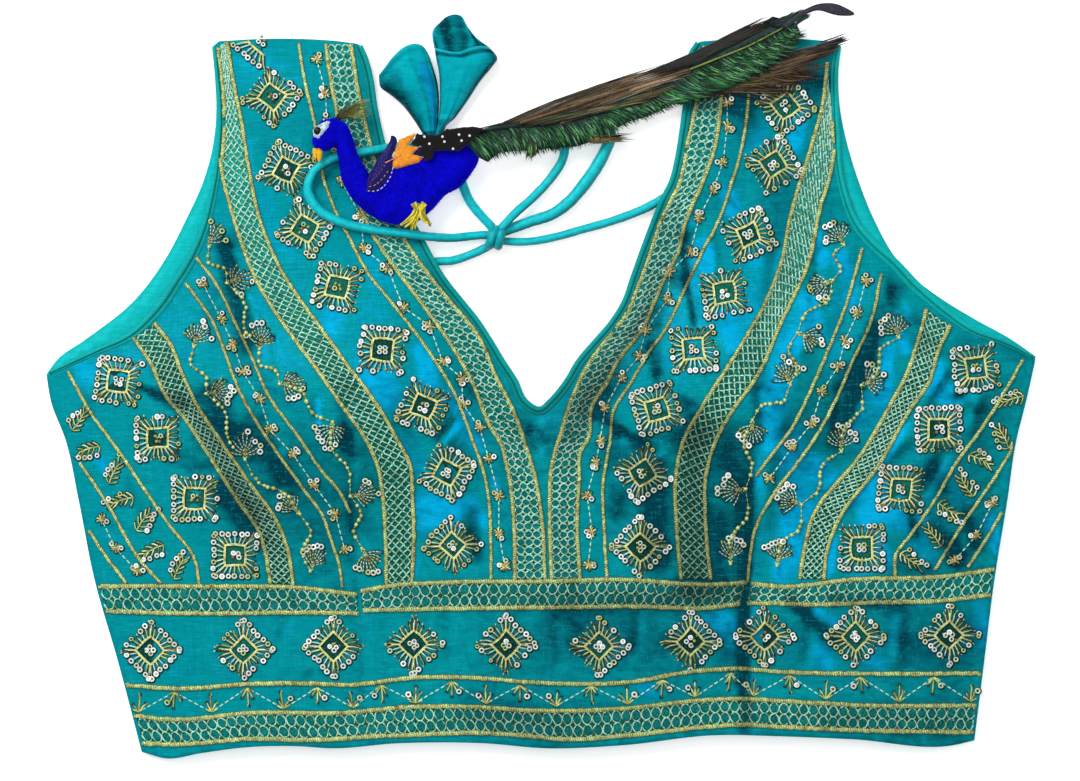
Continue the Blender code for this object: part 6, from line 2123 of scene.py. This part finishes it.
def make_crest():
    """A brush of bent fibres, dark at their roots and pale green at their tips."""
    crest = Work()
    for n in range(96):
        share = draw.beta(1.2, 1.1)
        heading = 52 - 46 * share + draw.normal(0, 3)
        length = (13.5 + 3.5 * math.sin(math.pi * share)) * draw.uniform(0.55, 1.08)
        root = np.array(CREST_ROOT) + draw.normal(0, 0.6, 2)
        middle = root + length * 0.55 * aim(heading)
        end = middle + length * 0.5 * aim(heading - CREST_BEND)
        line = resampled([root, middle, end], length / 6)
        ramp = np.linspace(0, 1, len(line))[:, None]
        dark = CREST_DARK[n % 2] * draw.uniform(0.35, 1.0)
        pale = CREST_PALE[n % 3] * draw.uniform(0.5, 1.1)
        z = 13.1 + 0.9 * draw.random() + 0.5 * ramp[:, 0]
        crest.tube(np.column_stack([line, z]), 0.26 * (1 - 0.6 * ramp[:, 0]),
                   dark * (1 - ramp ** 2.2) + pale * ramp ** 2.2, 3)
    crest.piece("crest_strands", FEATHER, "crest", ["crest"])


def make_bird():
    """The stuffed peacock that is pinned to the tie."""
    make_velvet()
    make_wing()
    make_wing_stitches()
    make_claw()
    make_beak()
    make_eye()
    make_crest()


# ---------------------------------------------------------------- the tail feathers
# x and the height of the lower feather's underside there
FEATHER_UNDERSIDE = [(-47, 16.5), (84, 6.0), (160, 5.85)]
# Dark ground under the barbs of each feather, on the grid
LOWER_GROUND = [(463, 140), (478, 158), (488, 163), (498, 154), (520, 151), (554, 149), (578, 147),
                (594, 141), (612, 132), (624, 124), (650, 116), (668, 107), (684, 98), (690, 86), (640, 100),
                (591, 115), (557, 121), (529, 126), (500, 124), (476, 130)]
UPPER_GROUND = [(474, 133), (491, 131), (529, 127), (557, 121), (591, 116), (640, 103), (690, 90),
                (716, 84), (752, 75), (768, 60), (786, 45), (800, 34), (796, 24), (783, 20), (772, 17),
                (762, 24), (740, 39), (716, 50), (688, 60), (652, 73), (599, 88), (572, 98), (545, 113),
                (520, 122), (491, 128)]
WHITE_TAN = srgb(214, 204, 192)
TAN = srgb(172, 142, 108)
BROWN = srgb(104, 78, 52)
DEEP_BROWN = srgb(34, 26, 18)
OLIVE = srgb(140, 140, 60)
GREEN_MID = srgb(52, 158, 74)
GREEN_BRIGHT = srgb(150, 234, 120)
TEAL_PALE = srgb(170, 226, 196)
GREEN_DEEP = srgb(6, 40, 30)
SLATE = srgb(46, 46, 62)
DARK_GREENS = [GREEN_DEEP, BARB_DEEP, srgb(10, 50, 34), srgb(4, 20, 16)]
LIT_GREENS = [GREEN_MID, GREEN_BRIGHT, TEAL_PALE, GREEN_MID, srgb(86, 190, 110)]
# Groups of barbs: feather, count, line of the roots, line of the tips, bow sideways in millimetres,
# half-width, rise, dark colours, lit colours, the share of them that is lit
BARB_GROUPS = [
    ("lower", 520, [(463, 138), (500, 128), (529, 130), (548, 127)],
     [(486, 162), (505, 156), (535, 154), (560, 151)], 1.2, 0.40, 0.9, DARK_GREENS, LIT_GREENS, 0.55),
    ("lower", 560, [(505, 124), (529, 128), (557, 122), (600, 114)],
     [(520, 152), (548, 150), (580, 148), (616, 136)], 1.4, 0.40, 1.3, DARK_GREENS, LIT_GREENS, 0.6),
    ("lower", 620, [(560, 121), (600, 113), (640, 102), (676, 92)],
     [(592, 143), (626, 127), (660, 114), (692, 100)], 1.2, 0.40, 1.1, DARK_GREENS, LIT_GREENS, 0.65),
    ("lower", 90, [(527, 138), (531, 140), (536, 140)], [(527, 156), (531, 161), (537, 155)],
     0.4, 0.4, 1.5, DARK_GREENS, [GREEN_BRIGHT, OLIVE], 0.6),
    ("lower", 46, [(562, 132), (576, 138), (592, 143)], [(634, 137), (628, 139), (622, 140)],
     -0.8, 0.42, 0.8, [BROWN, DEEP_BROWN], [TAN, OLIVE], 0.6),
    ("lower", 120, [(664, 101), (680, 98), (700, 94)], [(728, 98), (762, 89), (806, 93)],
     1.8, 0.24, 0.9, [BROWN, DEEP_BROWN, DEEP_BROWN], [TAN, OLIVE, BROWN], 0.45),
    ("lower", 120, [(690, 94), (706, 91), (724, 85)], [(784, 86), (822, 76), (838, 60)],
     1.6, 0.22, 1.1, [BROWN, DEEP_BROWN, srgb(60, 46, 34)], [OLIVE, TAN, BROWN], 0.5),
    ("lower", 190, [(705, 90), (748, 76), (788, 54)], [(824, 58), (841, 45), (849, 37)],
     -0.8, 0.30, 1.2, [BROWN, DEEP_BROWN, DEEP_BROWN], [BROWN, TAN], 0.4),
    ("lower", 30, [(726, 94), (756, 84), (790, 66)], [(786, 106), (806, 84), (834, 76)],
     -2.0, 0.20, 1.7, [BROWN, DEEP_BROWN], [TAN, BROWN], 0.6),
    ("lower", 26, [(790, 58), (810, 50), (822, 44)], [(836, 46), (848, 38), (851, 34)],
     -0.3, 0.5, 1.4, [DEEP_BROWN, SLATE], [BROWN], 0.2),
    ("upper", 300, [(500, 126), (512, 124), (530, 126)], [(668, 66), (694, 70), (700, 78)],
     1.6, 0.34, 0.6, [DEEP_BROWN, BROWN, DEEP_BROWN, GREEN_DEEP], [TAN, WHITE_TAN, OLIVE], 0.4),
    ("upper", 240, [(540, 113), (560, 112), (580, 116)], [(660, 70), (690, 72), (720, 62)],
     1.0, 0.32, 0.9, [BROWN, DEEP_BROWN, DEEP_BROWN], [WHITE_TAN, TAN, OLIVE], 0.5),
    ("upper", 260, [(520, 127), (556, 122), (600, 112)], [(612, 108), (650, 100), (700, 82)],
     0.8, 0.32, 1.0, [DEEP_BROWN, GREEN_DEEP, BROWN], [OLIVE, TAN, GREEN_MID], 0.55),
    ("upper", 40, [(614, 92), (622, 92), (630, 94)], [(668, 74), (678, 74), (686, 76)],
     0.4, 0.40, 1.4, [TAN, BROWN], [WHITE_TAN], 0.9),
    ("upper", 190, [(640, 78), (660, 74), (690, 66)], [(756, 32), (768, 20), (780, 22)],
     0.8, 0.42, 0.8, [DEEP_BROWN, srgb(20, 30, 26)], [BROWN, SLATE], 0.4),
    ("upper", 820, [(650, 94), (690, 72), (740, 50), (784, 30)],
     [(690, 102), (722, 92), (766, 72), (806, 36)], -2.2, 0.40, 1.0, DARK_GREENS, LIT_GREENS, 0.62),
    ("upper", 460, [(690, 71), (740, 49), (788, 27)], [(714, 78), (758, 60), (804, 32)],
     -1.6, 0.38, 1.4, DARK_GREENS, LIT_GREENS, 0.6),
    ("upper", 90, [(770, 26), (780, 30), (792, 30)], [(798, 12), (806, 12), (812, 14)],
     0.6, 0.34, 1.0, [GREEN_DEEP, SLATE], [SLATE, GREEN_MID], 0.5),
]
# Quills: feather, points on the grid, radius at the root and the tip, colour, rise
QUILLS = [
    ("upper", [(520, 124), (570, 108), (630, 88), (690, 70)], 0.8, 0.55, BROWN, 1.7),
    ("upper", [(690, 70), (720, 58), (745, 48), (782, 29)], 0.52, 0.4, QUILL_GREEN, 1.9),
    ("lower", [(470, 134), (478, 131), (489, 129)], 0.6, 0.5, TAN, 1.6),
    ("lower", [(560, 124), (600, 112), (640, 101), (690, 90), (740, 82)], 0.6, 0.35, BROWN, 1.3),
]


# The dark curl at the upper feather's tip
CURL = [(784, 28), (794, 19), (806, 12), (818, 8), (830, 9), (842, 12), (854, 15)]
BARB_WIDTHS = np.array([0.7, 1, 1, 0.9, 0.65, 0.12])


def feather_height(name, x):
    """Height of a feather's underside at x."""
    layer = {"lower": 0.0, "upper": 1.5}[name]
    return looked_up(FEATHER_UNDERSIDE, x) + layer


def barbs(name, count, roots, tips, bow, half, rise, low, high, lit):
    """The lines, widths and colours of a group of barbs; the lit ones have a glint somewhere along them."""
    share = (np.arange(count) + draw.random(count)) / count
    start = at_share(resampled(on_grid(roots), 1.0), share) + draw.normal(0, 0.5, (count, 2))
    share = np.clip(share + draw.normal(0, 0.02, count), 0, 1)
    end = at_share(resampled(on_grid(tips), 1.0), share) + draw.normal(0, 0.8, (count, 2))
    t = np.linspace(0, 1, len(BARB_WIDTHS))[None, :, None]
    arm = (end - start)[:, None] * draw.uniform(0.72, 1.06, (count, 1, 1))
    across = unit(np.stack([-arm[..., 1], arm[..., 0]], axis=-1))
    sway = bow * np.sin(np.pi * t) * draw.uniform(0.4, 1.4, (count, 1, 1))
    flat = start[:, None] + arm * t + across * sway
    z = feather_height(name, flat[..., 0]) + rise * draw.uniform(0.5, 1.0, (count, 1))
    z = z + 0.5 * np.sin(np.pi * t[..., 0])
    width = half * BARB_WIDTHS * draw.uniform(0.7, 1.25, (count, 1))
    first = np.array(low)[draw.integers(0, len(low), count)] * draw.uniform(0.6, 1.3, (count, 1))
    last = np.array(high)[draw.integers(0, len(high), count)] * draw.uniform(0.6, 1.15, (count, 1))
    catch = np.where(draw.random((count, 1, 1)) < lit, draw.uniform(0.6, 1.0, (count, 1, 1)), 0.04)
    glint = catch * np.exp(-((t - draw.uniform(0.3, 1.0, (count, 1, 1))) / 0.18) ** 2)
    tints = np.clip(first[:, None] * (1 - glint) + last[:, None] * glint, 0, 1)
    return np.concatenate([flat, z[..., None]], axis=-1), width, tints


def make_curl(work):
    """The rolled dark tip, its threads laid side by side over a round back."""
    line = resampled(on_grid(CURL), 0.8)
    share = np.linspace(0, 1, len(line))
    half = 1.2 + 1.5 * np.exp(-((share - 0.74) / 0.2) ** 2)
    half *= np.sqrt(np.clip(1.001 - share ** 14, 0, 1))
    for shift in np.linspace(-0.85, 0.85, 9):
        path = beside(line, shift * half)
        z = feather_height("upper", path[:, 0]) + 1.0 + 0.5 * (1 - shift ** 2)
        colour = SLATE if abs(shift) < 0.7 else DEEP_BROWN
        work.tube(np.column_stack([path, z]), np.maximum(half * 0.2, 0.05), vary(colour, len(path), 0.25),
                  5, 0.7)


def make_feathers():
    """The two tail feathers: a dark ground, groups of barbs, quills and the curled tip."""
    works = {"lower": Work(), "upper": Work()}
    for name, ground in (("lower", LOWER_GROUND), ("upper", UPPER_GROUND)):
        outline = divided(anticlockwise(on_grid(ground)), 3)
        points, faces = shell(outline, lambda x, y: feather_height(name, x) + 0.6,
                              lambda x, y: feather_height(name, x), 3.0)
        works[name].add(points, faces, vary(BARB_DEEP, len(points), 0.3))
    for row in BARB_GROUPS:
        works[row[0]].tubes(*barbs(*row))
    for name, points, root, tip, colour, rise in QUILLS:
        line = resampled(on_grid(points), 1.5)
        z = feather_height(name, line[:, 0]) + rise
        radius = np.linspace(root, tip, len(line))
        works[name].tube(np.column_stack([line, z]), radius, vary(colour, len(line), 0.15), 7)
    make_curl(works["upper"])
    works["lower"].piece("feather_lower", FEATHER, "feather", ["tail_feather_lower"])
    works["upper"].piece("feather_upper", FEATHER, "feather", ["tail_feather_upper"])


add_camera()
add_floor()
add_light()
make_tie()
front = make_front()
back = make_back()
bindings = make_bindings()
embroidery = embroider()
make_bird()
make_feathers()
